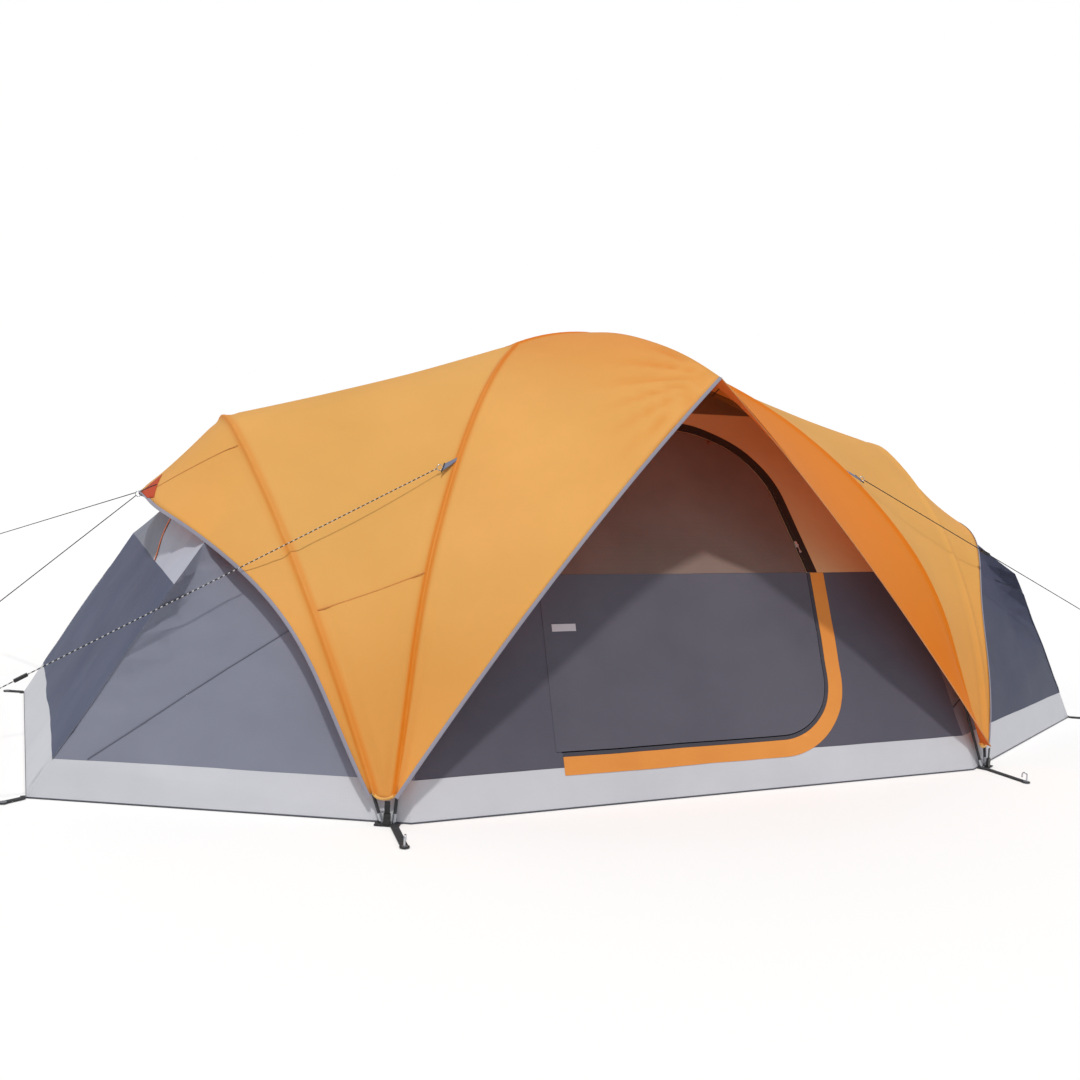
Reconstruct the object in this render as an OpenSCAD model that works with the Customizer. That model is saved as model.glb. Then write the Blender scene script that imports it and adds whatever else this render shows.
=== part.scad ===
// Family dome tent: inner tent, curved pole frame, orange rain fly and guy-lines.
// Millimetres, +Z up, front door towards -Y, origin on the ground under the ridge.

/* [Floor] */
// Length of the floor between the two end edges
floor_l = 4572; // [4100:10:5000]
// Distance of the long floor edges from the centre line
floor_half_w = 1330; // [1250:10:1400]
// Half the length of each long floor edge
floor_side_half = 1160; // [1080:10:1220]
// Half the length of each end floor edge
floor_end_half = 753; // [650:10:850]
// Thickness of the floor sheet
floor_t = 3; // [2:0.5:5]
// Height of the floor's raised band
band_h = 125; // [90:5:160]

/* [Frame] */
// Outside diameter of the pole tubes
pole_d = 11; // [8:0.5:14]
// Half the distance between the two ridge connectors
hub_half = 330; // [260:10:400]
// Height of the pole axis at the ridge connectors
hub_z = 1595; // [1500:5:1680]
// Rise of the ridge pole's middle above the connectors
ridge_rise = 62; // [45:1:75]
// Slope of a leg pole where it leaves its connector
leg_slope = 13.4; // [10:0.5:18]
// Slope of a leg pole where its bend tightens
leg_mid_slope = 48.5; // [45:0.5:52]
// Slope of a leg pole's straight foot
leg_foot_slope = 70.6; // [68:0.2:73]
// Radius of a leg pole's upper bend
leg_bend_r = 2280; // [2000:10:2500]
// Distance of a leg pole's foot from the floor corner, along the corner edge
leg_foot_along = 55; // [50:1:60]
// Distance of an end pole's foot from the floor corner, along the corner edge
end_foot_along = 92; // [86:1:105]
// Distance of the pole feet outside the floor edge
foot_out = 12; // [11:0.5:16]
// Distance of an end pole's crown from the centre
end_crown_x = 1561; // [1500:5:1620]
// Height of an end pole's crown
end_crown_z = 1237; // [1180:5:1280]
// Radius of an end pole's crown bend
end_bend_r = 440; // [400:10:500]
// Slope of an end pole where its crown bend ends
end_mid_slope = 25.5; // [24:0.5:28]
// Slope of an end pole's straight foot
end_foot_slope = 67.6; // [66:0.2:70]
// Radius of the awning pole's bend
awning_bend_r = 3250; // [2900:50:3600]
// Length of the steel sleeve at each pole joint
ferrule_l = 70; // [50:5:100]
// Wall of the steel sleeves
ferrule_t = 0.9; // [0.6:0.1:1.5]

/* [Inner tent] */
// Thickness of the wall fabric
wall_t = 2; // [1.5:0.1:3]
// Lean of the lower front and back walls from upright
low_lean = 22; // [20:0.5:24]
// Height of the bend seam across the front and back walls
seam_z = 750; // [700:5:800]
// Lean of the upper front and back walls from upright
up_lean = 44; // [42:0.5:46]
// Height of the upper edge of the front and back walls
wall_top_z = 1350; // [1320:5:1370]
// Distance from a pole axis to the wall seams beside it
pole_inset = 34; // [28:1:45]
// Lean of the end walls from upright
end_lean = 32.7; // [30:0.5:35]
// Height of the lower edge of the end windows
window_z = 700; // [600:10:760]
// Half the width of an end wall at its window
window_half = 790; // [740:10:830]

/* [Door] */
// Distance of the door's hinge edge left of the middle
door_left = 610; // [560:5:640]
// Distance of the door's closing edge right of the middle
door_right = 518; // [480:5:540]
// Height of the door's lower edge along the wall
door_sill = 185; // [170:5:220]
// Radius of the door's lower corner
door_low_r = 220; // [150:10:260]
// Radius of the door's upper corners
door_up_r = 363; // [300:5:380]
// Height of the upper corners' centres above the bend seam
door_up_c = 365; // [330:5:380]
// Gap round the door leaf
door_gap = 4; // [3:0.5:8]
// Width of the orange storm flap
flap_w = 62; // [45:1:75]
// Width of the black zip cover
zip_w = 34; // [26:1:45]
// Height of the zip slider above the bend seam at rest
slider_up = 136; // [115:1:150]

/* [Fly] */
// Thickness of the fly fabric
fly_t = 2; // [1.5:0.1:3]
// Distance from a pole axis to the fly above it
fly_off = 16; // [14:0.5:22]
// Distance of the awning's front peak from the middle
awning_y = 1143; // [1100:5:1180]
// Distance of the end hood's peak from the middle
hood_x = 1871; // [1820:5:1900]
// Height of the end hood's peak
hood_z = 944; // [900:5:980]
// Height of the fly's corner tips above the ground
tip_z = 95; // [85:1:110]
// Upward bow of the awning's front edge
edge_bow = 55; // [30:5:70]
// Width of the binding tape on the fly's edges
binding_w = 13; // [10:1:18]

/* [Ground] */
// Width of the corner webbing
web_w = 25; // [20:1:32]
// Thickness of the corner webbing
web_t = 2; // [1.5:0.1:2.8]
// Diameter of the steel pegs
peg_d = 6; // [5:0.5:7]
// Inside diameter of the peg eyelets
eyelet_d = 12; // [9:0.5:14]
// Thickness of the steel eyelets
eyelet_t = 3; // [3:0.1:4]

/* [Guy-lines] */
// Diameter of the guy-lines
line_d = 4; // [3:0.5:5]
// Side of the guy-out tabs
tab_s = 58; // [48:1:66]
// Length of the line tensioners
tensioner_l = 44; // [36:1:52]
// Diameter of the metal rings on the guy-out points
ring_d = 24; // [18:1:30]

/* [Hidden] */
$fn = 40;
fit = 0.3;                                   // clearance between separate bodies
pole_r = pole_d/2;
pin_r = 3;
cap_r = pole_r + 2;
cap_l = 25;
corner = [floor_side_half, floor_half_w];    // floor corner by the door side
corner_e = [floor_l/2, floor_end_half];      // floor corner at the end
ce = corner_e - corner;
ce_u = ce/norm(ce);
ce_n = [-ce_u[1], ce_u[0]];
leg_foot = corner + leg_foot_along*ce_u + foot_out*ce_n;
end_foot = corner + end_foot_along*ce_u + foot_out*ce_n;

function unit(v) = v/norm(v);
function lerp(a, b, f) = a + (b - a)*f;
// Bent pole path: upper bend, tighter bend, straight foot; [c1, r1, c2, r2, end, len, a0, a1, a2].
function path(h, q, r1, a0, a1, a2) =
  let (det = 1 - cos(a2 - a1),
       b1 = q - r1*(sin(a1) - sin(a0)),
       b2 = h - r1*(cos(a0) - cos(a1)),
       r2 = (b1*sin(a2) - b2*cos(a2))/det,
       len = ((sin(a2) - sin(a1))*b2 - (cos(a1) - cos(a2))*b1)/det,
       c1 = [-r1*sin(a0), h - r1*cos(a0)],
       c2 = c1 + (r1 - r2)*[sin(a1), cos(a1)])
  [c1, r1, c2, r2, c2 + r2*[sin(a2), cos(a2)], len, a0, a1, a2];
function arc1(p) = p[1]*(p[7] - p[6])*PI/180;
function arc2(p) = p[3]*(p[8] - p[7])*PI/180;
function path_len(p) = arc1(p) + arc2(p) + p[5];
function path_ang(p, d) = d < arc1(p) ? p[6] + d/p[1]*180/PI
  : d < arc1(p) + arc2(p) ? p[7] + (d - arc1(p))/p[3]*180/PI : p[8];
function path_pt(p, d, o = 0) = let (t = path_ang(p, d), v = [sin(t), cos(t)])
  d < arc1(p) ? p[0] + (p[1] + o)*v : d < arc1(p) + arc2(p) ? p[2] + (p[3] + o)*v
  : p[4] + (d - arc1(p) - arc2(p))*[cos(t), -sin(t)] + o*v;

leg_run = [leg_foot[0] - hub_half, leg_foot[1]];
leg_az = atan2(leg_run[1], leg_run[0]);
leg = path(hub_z, norm(leg_run), leg_bend_r, leg_slope, leg_mid_slope, leg_foot_slope);
end_run = [end_crown_x - end_foot[0], end_crown_z];
end_tilt = atan2(end_run[0], end_run[1]);
arch = path(norm(end_run), end_foot[1], end_bend_r, 0, end_mid_slope, end_foot_slope);
ring_in = pin_r + 2.6;
ring_out = 9;
ring_t = 3;
leg_k = sin(leg_foot_slope);
end_k = sin(end_foot_slope)*cos(end_tilt);
leg_cap = path_len(leg) - (ring_t + fit + cap_r*sqrt(1 - leg_k*leg_k))/leg_k;
end_cap = path_len(arch) - (ring_t + fit + cap_r*sqrt(1 - end_k*end_k))/end_k;

// Points of the two pole families in space; sx and sy pick the quadrant.
function leg3(sx, sy, d, o = 0) = let (p = path_pt(leg, d, o))
  [sx*(hub_half + p[0]*cos(leg_az)), sy*p[0]*sin(leg_az), p[1]];
function end3(sx, sy, d, o = 0) = let (p = path_pt(arch, d, o))
  [sx*(end_foot[0] + p[1]*sin(end_tilt)), sy*p[0], p[1]*cos(end_tilt)];

// Ridge strut and awning pole arcs.
strut_half = 2*atan(ridge_rise/hub_half);
strut_r = hub_half/sin(strut_half);
strut_z = hub_z + ridge_rise;
awn_z = strut_z + 2*pole_r + fit;
awn_end = awning_y - 22;
awn_half = asin(awn_end/awning_bend_r);
function awn_drop(y) = awning_bend_r - sqrt(awning_bend_r*awning_bend_r - y*y);
peak_z = awn_z - awn_drop(awning_y) + fly_off;

// Rod or tube along a path from distance d0 to d1, in one solid for each bend.
module path_rod(p, d0, d1, r, ri = 0) {
  a = arc1(p);
  b = a + arc2(p);
  if (d0 < a) bend(p[0], p[1], path_ang(p, d0), p[6] + (min(d1, a) - cut)/p[1]*180/PI, r, ri);
  if (d1 > a && d0 < b) bend(p[2], p[3], p[7] + (max(d0 - a, 0) + cut)/p[3]*180/PI,
    p[7] + (min(d1, b) - a - cut)/p[3]*180/PI, r, ri);
  if (d1 > b) {
    s = max(cut, d0 - b);
    q = p[4] + s*[cos(p[8]), -sin(p[8])];
    translate([q[0], q[1], 0]) rotate([0, 90, -p[8]]) linear_extrude(d1 - b - s) hoop(r, ri);
  }
}
cut = 0.05;
module hoop(r, ri) difference() { circle(r = r); if (ri > 0) circle(r = ri); }
module bend(c, rr, t0, t1, r, ri)
  translate([c[0], c[1], 0]) rotate([0, 0, 90 - t1])
    rotate_extrude(angle = t1 - t0, $fn = 90) translate([rr, 0]) hoop(r, ri);
module on_leg(sx, sy)
  translate([sx*hub_half, 0, 0]) rotate([0, 0, atan2(sy*leg_run[1], sx*leg_run[0])])
    rotate([90, 0, 0]) children();
module on_end_right()
  translate([end_foot[0], 0, 0]) rotate([0, end_tilt, 0]) rotate([90, 0, 90]) children();
module on_end(sx, sy)
  mirror([sx < 0 ? 1 : 0, 0, 0]) mirror([0, sy < 0 ? 1 : 0, 0]) on_end_right() children();
module four() for (sx = [-1, 1], sy = [-1, 1])
  mirror([sx < 0 ? 1 : 0, 0, 0]) mirror([0, sy < 0 ? 1 : 0, 0]) children();
module on_corner() translate([corner[0], corner[1], 0]) rotate([0, 0, atan2(ce_u[1], ce_u[0])]) children();
module rod(a, b, r, n = 24) {
  v = b - a;
  translate(a) rotate([0, acos(v[2]/norm(v)), atan2(v[1], v[0])]) cylinder(h = norm(v), r = r, $fn = n);
}
// Closed sheet over a grid of points; dirs give the thickness direction at each point.
module sheet(g, dirs, t) {
  n = len(g);
  m = len(g[0]);
  k = n*m;
  pts = concat([for (i = [0:n - 1], j = [0:m - 1]) g[i][j]],
               [for (i = [0:n - 1], j = [0:m - 1]) g[i][j] + t*dirs[i][j]]);
  function q(a, b, c, d) = [[a, b, c], [a, c, d]];
  top = [for (i = [0:n - 2], j = [0:m - 2]) each q(i*m + j, i*m + j + 1, (i + 1)*m + j + 1, (i + 1)*m + j)];
  rim = concat([for (j = [0:m - 2]) each q(j + 1, j, k + j, k + j + 1)],
    [for (j = [0:m - 2]) each q((n - 1)*m + j, (n - 1)*m + j + 1, k + (n - 1)*m + j + 1, k + (n - 1)*m + j)],
    [for (i = [0:n - 2]) each q(i*m, (i + 1)*m, k + (i + 1)*m, k + i*m)],
    [for (i = [0:n - 2]) each q((i + 1)*m + m - 1, i*m + m - 1, k + i*m + m - 1, k + (i + 1)*m + m - 1)]);
  faces = concat(top, [for (f = top) [f[0] + k, f[2] + k, f[1] + k]], rim);
  facing = [for (i = [0:n - 2], j = [0:m - 2])
    cross(g[i][j + 1] - g[i][j], g[i + 1][j] - g[i][j])*dirs[i][j]]*[for (i = [1:(n - 1)*(m - 1)]) 1];
  polyhedron(pts, facing > 0 ? faces : [for (f = faces) [f[0], f[2], f[1]]]);
}
aim_z = 250;
function inward(p) = unit([-0.45*p[0], -p[1], aim_z - p[2]]);
function outward(p) = -inward(p);
function dirs_in(g) = [for (r = g) [for (p = r) inward(p)]];
function dirs_out(g) = [for (r = g) [for (p = r) outward(p)]];
function ruled(a, b, m) = [for (i = [0:len(a) - 1]) [for (j = [0:m]) lerp(a[i], b[i], j/m)]];

// Inner tent lines, first quadrant (+x, +y).
seam_y = floor_half_w - seam_z*tan(low_lean);
top_y = seam_y - (wall_top_z - seam_z)*tan(up_lean);
band_y = floor_half_w - band_h*tan(low_lean);
half_band = floor_side_half - band_h*0.18;
half_seam = floor_side_half - seam_z*0.213;
half_top = half_seam - (wall_top_z - seam_z)*0.65;
band_c = [half_band, band_y, band_h];
band_d = [corner_e[0] - band_h*tan(end_lean), corner_e[1] + 4, band_h];
wall_m = [half_seam, seam_y, seam_z];
wall_top = [half_top, top_y, wall_top_z];
ridge_in = [hub_half - 20, 0, hub_z - 30];
win_f = [corner_e[0] - window_z*tan(end_lean), window_half, window_z];

// Samples along the end pole; the window ends at sample win_i.
arch_f = [0, 0.058, 0.116, 0.174, 0.24, 0.33, 0.42, 0.51, 0.6, 0.69, 0.78, 1];
win_i = 4;
arch_a = lerp(band_c, band_d, 0.117);
up_n = [0, -cos(up_lean), -sin(up_lean)];
low_n = [0, -cos(low_lean), -sin(low_lean)];
function side_s(f) = f < 0.3 ? lerp(ridge_in, wall_top, f/0.3)
  : f < 0.65 ? lerp(wall_top, wall_m, (f - 0.3)/0.35) : lerp(wall_m, band_c, (f - 0.65)/0.35);
function side_dir(f) = f < 0.3 ? unit(lerp(inward(ridge_in), up_n, f/0.3)) : f < 0.62 ? up_n
  : f < 0.68 ? unit(up_n + low_n) : low_n;
function arch_in_at(i) = i == len(arch_f) - 1 ? arch_a : end3(1, 1, arch_f[i]*path_len(arch), -pole_inset);
// Rows of the side roof: through every corner of the wall line.
side_f = [0, 0.1, 0.2, 0.3, 0.39, 0.48, 0.57, 0.65, 0.74, 0.83, 0.92, 1];

/* ---- wall planes: x along the wall, y up the wall, z outward ---- */
seam_w = seam_z/cos(low_lean);
band_w = band_h/cos(low_lean) + 0.4;
up_w = (wall_top_z - seam_z)/cos(up_lean);
module on_low() translate([0, -floor_half_w, 0]) rotate([90 - low_lean, 0, 0]) children();
module on_up() translate([0, -seam_y, seam_z]) rotate([90 - up_lean, 0, 0]) children();
// Door outline grown by g, in each plane; left edge at x = -door_left - gl.
module door_low(g, gl, top) {
  translate([-door_left - gl, door_sill - g])
    square([door_left + gl + door_right - door_low_r, top - door_sill + g]);
  translate([door_right - door_low_r - 1, door_sill + door_low_r])
    square([door_low_r + 1 + g, top - door_sill - door_low_r]);
  translate([door_right - door_low_r, door_sill + door_low_r]) circle(r = door_low_r + g, $fn = 96);
}
module door_up(g, gl, bottom) {
  translate([-door_left - gl, bottom]) square([door_left + gl + door_right + g, door_up_c - bottom]);
  translate([door_right - door_up_r, door_up_c]) circle(r = door_up_r + g, $fn = 96);
  translate([-door_left - gl + door_up_r + g, door_up_c]) circle(r = door_up_r + g, $fn = 96);
  translate([-door_left - gl + door_up_r + g, door_up_c])
    square([door_left + gl + door_right - 2*door_up_r - g, door_up_r + g]);
}
low_start = band_w + wall_t*tan(low_lean) + 0.1;
module wall_low(cut = 0) polygon([[-half_band, low_start], [half_band, low_start],
  [half_seam, seam_w - cut], [-half_seam, seam_w - cut]]);
module wall_up() polygon([[-half_seam, 0], [half_seam, 0], [half_top, up_w], [-half_top, up_w]]);

/* ---- sub-parts ---- */
module floor_sheet() color("#5c5f6b") linear_extrude(floor_t)
  polygon([[corner_e[0], -corner_e[1]], corner_e, corner, [-corner[0], corner[1]],
    [-corner_e[0], corner_e[1]], [-corner_e[0], -corner_e[1]],
    [-corner[0], -corner[1]], [corner[0], -corner[1]]]);

// Raised band: eight slabs whose ends meet on shared edges.
function band_foot(c, b) = lerp([c[0], c[1], 0], b, (floor_t + 0.02)/band_h);
function fm(p, sx, sy) = [sx*p[0], sy*p[1], p[2]];
module floor_band() color("#c6c7cc") {
  c = band_foot(corner, band_c);
  d = band_foot(corner_e, band_d);
  for (s = [-1, 1]) {
    g = [[fm(band_c, -1, s), fm(band_c, 1, s)], [fm(c, -1, s), fm(c, 1, s)]];
    band_slab(s < 0 ? g : [[g[0][1], g[0][0]], [g[1][1], g[1][0]]]);
    h = [[fm(band_d, s, -1), fm(band_d, s, 1)], [fm(d, s, -1), fm(d, s, 1)]];
    band_slab(s > 0 ? h : [[h[0][1], h[0][0]], [h[1][1], h[1][0]]]);
  }
  four() band_slab([[band_d, band_c], [d, c]]);
}
module band_slab(g) sheet(g, [for (r = g) [for (p = r) unit([-0.45*p[0], -p[1], 0])]], wall_t);

module front_wall() color("#5a5866") {
  on_low() translate([0, 0, -wall_t]) linear_extrude(wall_t) difference() {
    wall_low(wall_t*tan(up_lean - low_lean) + 0.03);
    door_low(0, 0, seam_w + 2);
  }
  on_up() translate([0, 0, -wall_t]) linear_extrude(wall_t) difference() {
    wall_up();
    door_up(0, 0, -1);
  }
}
win_half = 420;
win_low = 60;
win_high = 520;
module back_wall() color("#5a5866") mirror([0, 1, 0]) difference() {
  union() {
    on_low() translate([0, 0, -wall_t]) linear_extrude(wall_t) wall_low();
    on_up() translate([0, 0, -wall_t]) linear_extrude(wall_t) wall_up();
  }
  on_up() translate([-win_half, win_low, -8]) cube([2*win_half, win_high - win_low, 12]);
}
module back_window() color("#8d8f9a") mirror([0, 1, 0]) on_up()
  translate([-win_half + 0.3, win_low + 0.3, -wall_t])
    cube([2*win_half - 0.6, win_high - win_low - 0.6, wall_t*0.6]);
module roof_mesh() color("#8d8f9a") for (s = [-1, 1]) mirror([0, s < 0 ? 0 : 1, 0]) {
  a = [wall_top[0] - 2*fit, -wall_top[1], wall_top[2] + fit/2];
  b = [-a[0], a[1], a[2]];
  c = ridge_in - [2*fit, 0, 0];
  d = [-c[0], 0, c[2]];
  n = [up_n[0], -up_n[1], up_n[2]];
  sheet([[d, c], [b, a]], [[inward(d), inward(c)], [n, n]], wall_t);
}
// Sheet ruled between two edge lines a and b, with thickness directions da and db.
module panel(a, b, da, db, m) sheet(ruled(a, b, m), ruled(da, db, m), wall_t);
module side_roof(s) mirror([s < 0 ? 1 : 0, 0, 0]) for (m = [0, 1]) mirror([0, m, 0]) {
  n = len(arch_f) - 1;
  a = [for (i = [0:n]) arch_in_at(i) + [0, 0, i == n ? 3*fit : 0]];
  b = [for (i = [0:n]) side_s(side_f[i]) + [side_f[i] < 0.29 ? 0 : fit, 0, i == n ? 3*fit : 0]];
  panel(a, b, [for (p = a) inward(p)], [for (f = side_f) side_dir(f)], 3);
}
module side_roof_left() color("#6f7386") side_roof(-1);
module side_roof_right() color("#6f7386") side_roof(1);
module corner_walls() color("#82848f") for (sx = [-1, 1], sy = [-1, 1]) {
  n = len(arch_f) - 1;
  a = [for (i = [win_i:n]) fm(arch_in_at(i) + [0, 0, i == n ? 0.4 : 0], sx, sy)];
  f = [for (i = [0:n - win_i]) i/(n - win_i)];
  foot = band_d + [0, 0, 0.4];
  panel([for (k = f) fm(lerp(win_f, foot, k), sx, sy)], a,
    [for (k = f) fm(lerp(inward(win_f), inward(foot), k), sx, sy)], [for (p = a) inward(p)], 3);
}
module end_walls() color("#5f6680") for (s = [0, 1]) mirror([s, 0, 0]) {
  foot = band_d + [0, 0, 0.4];
  g = [[fm(win_f, 1, -1), win_f], [fm(foot, 1, -1), foot]];
  sheet(g, dirs_in(g), wall_t);
}
module end_windows() color("#9da0aa") for (s = [0, 1]) mirror([s, 0, 0]) {
  a = [for (i = [-win_i:win_i]) fm(arch_in_at(abs(i)), 1, i < 0 ? -1 : 1)];
  panel(a, [for (i = [-win_i:win_i]) fm(win_f, 1, i/win_i)], [for (p = a) inward(p)],
    [for (i = [-win_i:win_i]) fm(inward(win_f), 1, i/win_i)], 2);
}

/* door leaf lies just outside the wall, hinged at its left edge */
leaf_t = 1.6;
hinge_in = 20;
tie_up = 606;
tie_l = 92;
tie_w = 26;
module door_panel() color("#57555f") on_low() translate([0, 0, fit]) linear_extrude(leaf_t) {
  intersection() {
    door_low(-door_gap, hinge_in, seam_w);
    translate([-door_left - hinge_in, 0]) square([2*door_left, seam_w]);
  }
}
module door_mesh() color("#5a4034") on_up() translate([0, 0, fit]) linear_extrude(leaf_t)
  door_up(-door_gap, -2*door_gap, 0.3);
module door_tieback() color("#2b2b30") on_low()
  translate([-door_left + 12, tie_up, fit + leaf_t + 0.1]) cube([tie_l, tie_w, 1.4]);
module ring_low(g1, g2) intersection() {
  difference() { door_low(g2, 0, seam_w); door_low(g1, 0, seam_w + 1); }
  translate([-door_left + 4, 0]) square([2*door_left, seam_w - 0.6]);
}
module ring_up(g1, g2) intersection() {
  difference() { door_up(g2, 0, 0); door_up(g1, 0, -1); }
  translate([-200, 0.6]) square([1400, 1200]);
}
module storm_flap() color("#9c5622") on_low() translate([0, 0, 0.1]) linear_extrude(1.4)
  ring_low(14, 14 + flap_w);
module zip_cover() color("#1d1d20") on_up() translate([0, 0, 0.1]) linear_extrude(1.4)
  ring_up(14, 14 + zip_w);
module zip_tape() color("#26262a") {
  on_up() translate([0, 0, 0.1]) linear_extrude(0.8) ring_up(1, 13);
  on_low() translate([0, 0, 0.1]) linear_extrude(0.8) ring_low(1, 13);
}
slider_l = 26;
module zip_slider() color("#b9bcc2") on_up() translate([door_right + 1.5, slider_up - slider_l/2, 1.2]) {
  cube([11, slider_l, 5]);
  translate([2, 4, 4.9]) cube([1.6, 6, 5]);
  translate([7.4, 4, 4.9]) cube([1.6, 6, 5]);
}
module zip_pull() color("#c9ccd1") on_up() translate([door_right + 1.5, slider_up - slider_l/2 + 7, 1.2 + 7.4])
  difference() {
    union() {
      translate([3.9, 0, 0]) rotate([0, 90, 0]) cylinder(h = 3.2, r = 1.6, $fn = 24);
      translate([3.9, -30, -1]) cube([3.2, 30, 2]);
      translate([5.5, -33, -1]) cylinder(h = 2, r = 5, $fn = 24);
    }
    translate([5.5, -33, -2]) cylinder(h = 4, r = 2, $fn = 24);
  }

/* ---- poles ---- */
stop = 14;
module leg_pole(sx, sy) color("#8f9299") on_leg(sx, sy) {
  path_rod(leg, stop, arc1(leg)/2 - cut, pole_r);
  path_rod(leg, arc1(leg)/2 + cut, leg_cap - cap_l - 0.2, pole_r);
}
module leg_poles_front() { leg_pole(-1, -1); leg_pole(1, -1); }
module leg_poles_back() { leg_pole(-1, 1); leg_pole(1, 1); }
module on_strut() translate([0, 0, strut_z - strut_r]) rotate([90, 0, 0]) children();
strut_stop = stop/strut_r*180/PI;
module strut_arc(t, r) rotate([0, 0, 90 - t])
  rotate_extrude(angle = 2*t, $fn = 90) translate([strut_r, 0]) circle(r = r);
module ridge_strut() color("#8f9299") on_strut() strut_arc(strut_half - strut_stop, pole_r);
sleeve = 46;
module ridge_connectors() color("#2a2b2f") for (s = [-1, 1]) difference() {
  union() {
    translate([s*hub_half, 0, hub_z]) sphere(r = 14, $fn = 48);
    for (y = [-1, 1]) on_leg(s, y) path_rod(leg, 4, sleeve, pole_r + 2.6);
    mirror([s < 0 ? 1 : 0, 0, 0]) on_strut() hub_sleeve(4, sleeve, pole_r + 2.6);
  }
  for (y = [-1, 1]) on_leg(s, y) path_rod(leg, stop - 0.2, sleeve + 2, pole_r + 0.15);
  mirror([s < 0 ? 1 : 0, 0, 0]) on_strut() hub_sleeve(stop - 0.2, sleeve + 2, pole_r + 0.15);
}
module hub_sleeve(d0, d1, r) rotate([0, 0, 90 - strut_half + d0/strut_r*180/PI])
  rotate_extrude(angle = (d1 - d0)/strut_r*180/PI, $fn = 90) translate([strut_r, 0]) circle(r = r);
module end_pole(sx) color("#8f9299") for (sy = [-1, 1])
  on_end(sx, sy) path_rod(arch, 0, end_cap - cap_l - 0.2, pole_r);
module end_pole_left() end_pole(-1);
module end_pole_right() end_pole(1);
module awning_pole() color("#8f9299") translate([0, 0, awn_z - awning_bend_r]) rotate([90, 0, 90])
  rotate([0, 0, 90 - awn_half]) rotate_extrude(angle = 2*awn_half, $fn = 120)
    translate([awning_bend_r, 0]) circle(r = pole_r);
// Steel sleeves over the pole joints.
fer_in = pole_r + 0.1;
fer_out = fer_in + ferrule_t;
module pole_ferrules() color("#c3c6cb") {
  for (sx = [-1, 1], sy = [-1, 1]) {
    on_leg(sx, sy) for (d = [arc1(leg)/2, arc1(leg), arc1(leg) + arc2(leg)])
      path_rod(leg, d - ferrule_l/2, d + ferrule_l/2, fer_out, fer_in);
    on_end(sx, sy) for (d = [arc1(arch), arc1(arch) + arc2(arch)/2])
      path_rod(arch, d - ferrule_l/2, d + ferrule_l/2, fer_out, fer_in);
  }
  for (t = [-1, 1]) translate([0, 0, awn_z - awning_bend_r]) rotate([90, 0, 90])
    rotate([0, 0, 90 + t*awn_half/2 - ferrule_l/awning_bend_r*90/PI])
      rotate_extrude(angle = ferrule_l/awning_bend_r*180/PI, $fn = 90) translate([awning_bend_r, 0])
        difference() { circle(r = fer_out); circle(r = fer_in); }
}
module tip(p, d, k) translate([p[4][0], p[4][1], 0]) rotate([0, 90, -p[8]]) let (b = arc1(p) + arc2(p)) {
  translate([0, 0, d - b - cap_l]) cylinder(h = cap_l, r = cap_r);
  translate([0, 0, d - b - 1]) cylinder(h = path_len(p) - 2/k - d + 1, r = pin_r);
}
module pole_tips() color("#d5d7db") for (sx = [-1, 1], sy = [-1, 1]) {
  on_leg(sx, sy) tip(leg, leg_cap, leg_k);
  on_end(sx, sy) tip(arch, end_cap, end_k);
}
// Clips hang the inner tent from the poles.
clip_in = pole_r + 0.15;
clip_out = clip_in + 2.2;
clip_r = 2.2;
leg_clips = [0.16, 0.42, 0.7, 0.88];
end_clips = [0.055, 0.28, 0.72, 0.88];
function wall_edge(z) = z > wall_top_z
  ? lerp(ridge_in, wall_top, (ridge_in[2] - z)/(ridge_in[2] - wall_top_z))
  : z > seam_z ? lerp(wall_top, wall_m, (wall_top_z - z)/(wall_top_z - seam_z))
  : lerp(wall_m, band_c, (seam_z - z)/(seam_z - band_h));
module pole_clips() color("#232428") {
  four() {
    for (f = leg_clips) let (d = f*leg_cap, a = leg3(1, 1, d), e = wall_edge(a[2] - 45), v = unit(e - a)) {
      on_leg(1, 1) path_rod(leg, d - 7, d + 7, clip_out, clip_in);
      rod(a + (clip_in + 2)*v, e - (1.6 + 1.4*pow(f, 4))*v, clip_r);
    }
    for (f = end_clips)
    let (d = f*end_cap, a = end3(1, 1, d, -clip_in - 1), b = end3(1, 1, d, -pole_inset + 1)) {
      on_end(1, 1) path_rod(arch, d - 7, d + 7, clip_out, clip_in);
      rod(a, b, clip_r);
    }
  }
  for (s = [-1, 1]) rod([s*(hub_half - 1), 0, hub_z - 15.4], [s*ridge_in[0], 0, ridge_in[2] + 1.2], clip_r);
}

/* ---- ground hardware, built at the corner between a long and a slanted edge ---- */
peg_at = [-15, 205];
tab_mid = (leg_foot_along + end_foot_along)/2;
module corner_tabs() color("#26272b") four() on_corner() difference() {
  union() {
    translate([leg_foot_along - 22, fit]) cube([end_foot_along - leg_foot_along + 44, foot_out + 25, web_t]);
    bar_flat([tab_mid - 20, foot_out + 8], peg_at, web_w, web_t);
    translate([peg_at[0], peg_at[1], 0]) cylinder(h = web_t, r = eyelet_d/2 + 10);
  }
  for (x = [leg_foot_along, end_foot_along]) translate([x, foot_out, -1]) cylinder(h = 5, r = ring_out + 0.1);
  translate([peg_at[0], peg_at[1], -1]) cylinder(h = 5, r = eyelet_d/2 + 4.1);
}
module bar_flat(a, b, w, t) let (v = b - a) translate([a[0], a[1], 0])
  rotate([0, 0, atan2(v[1], v[0])]) translate([0, -w/2, 0]) cube([norm(v), w, t]);
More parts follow.
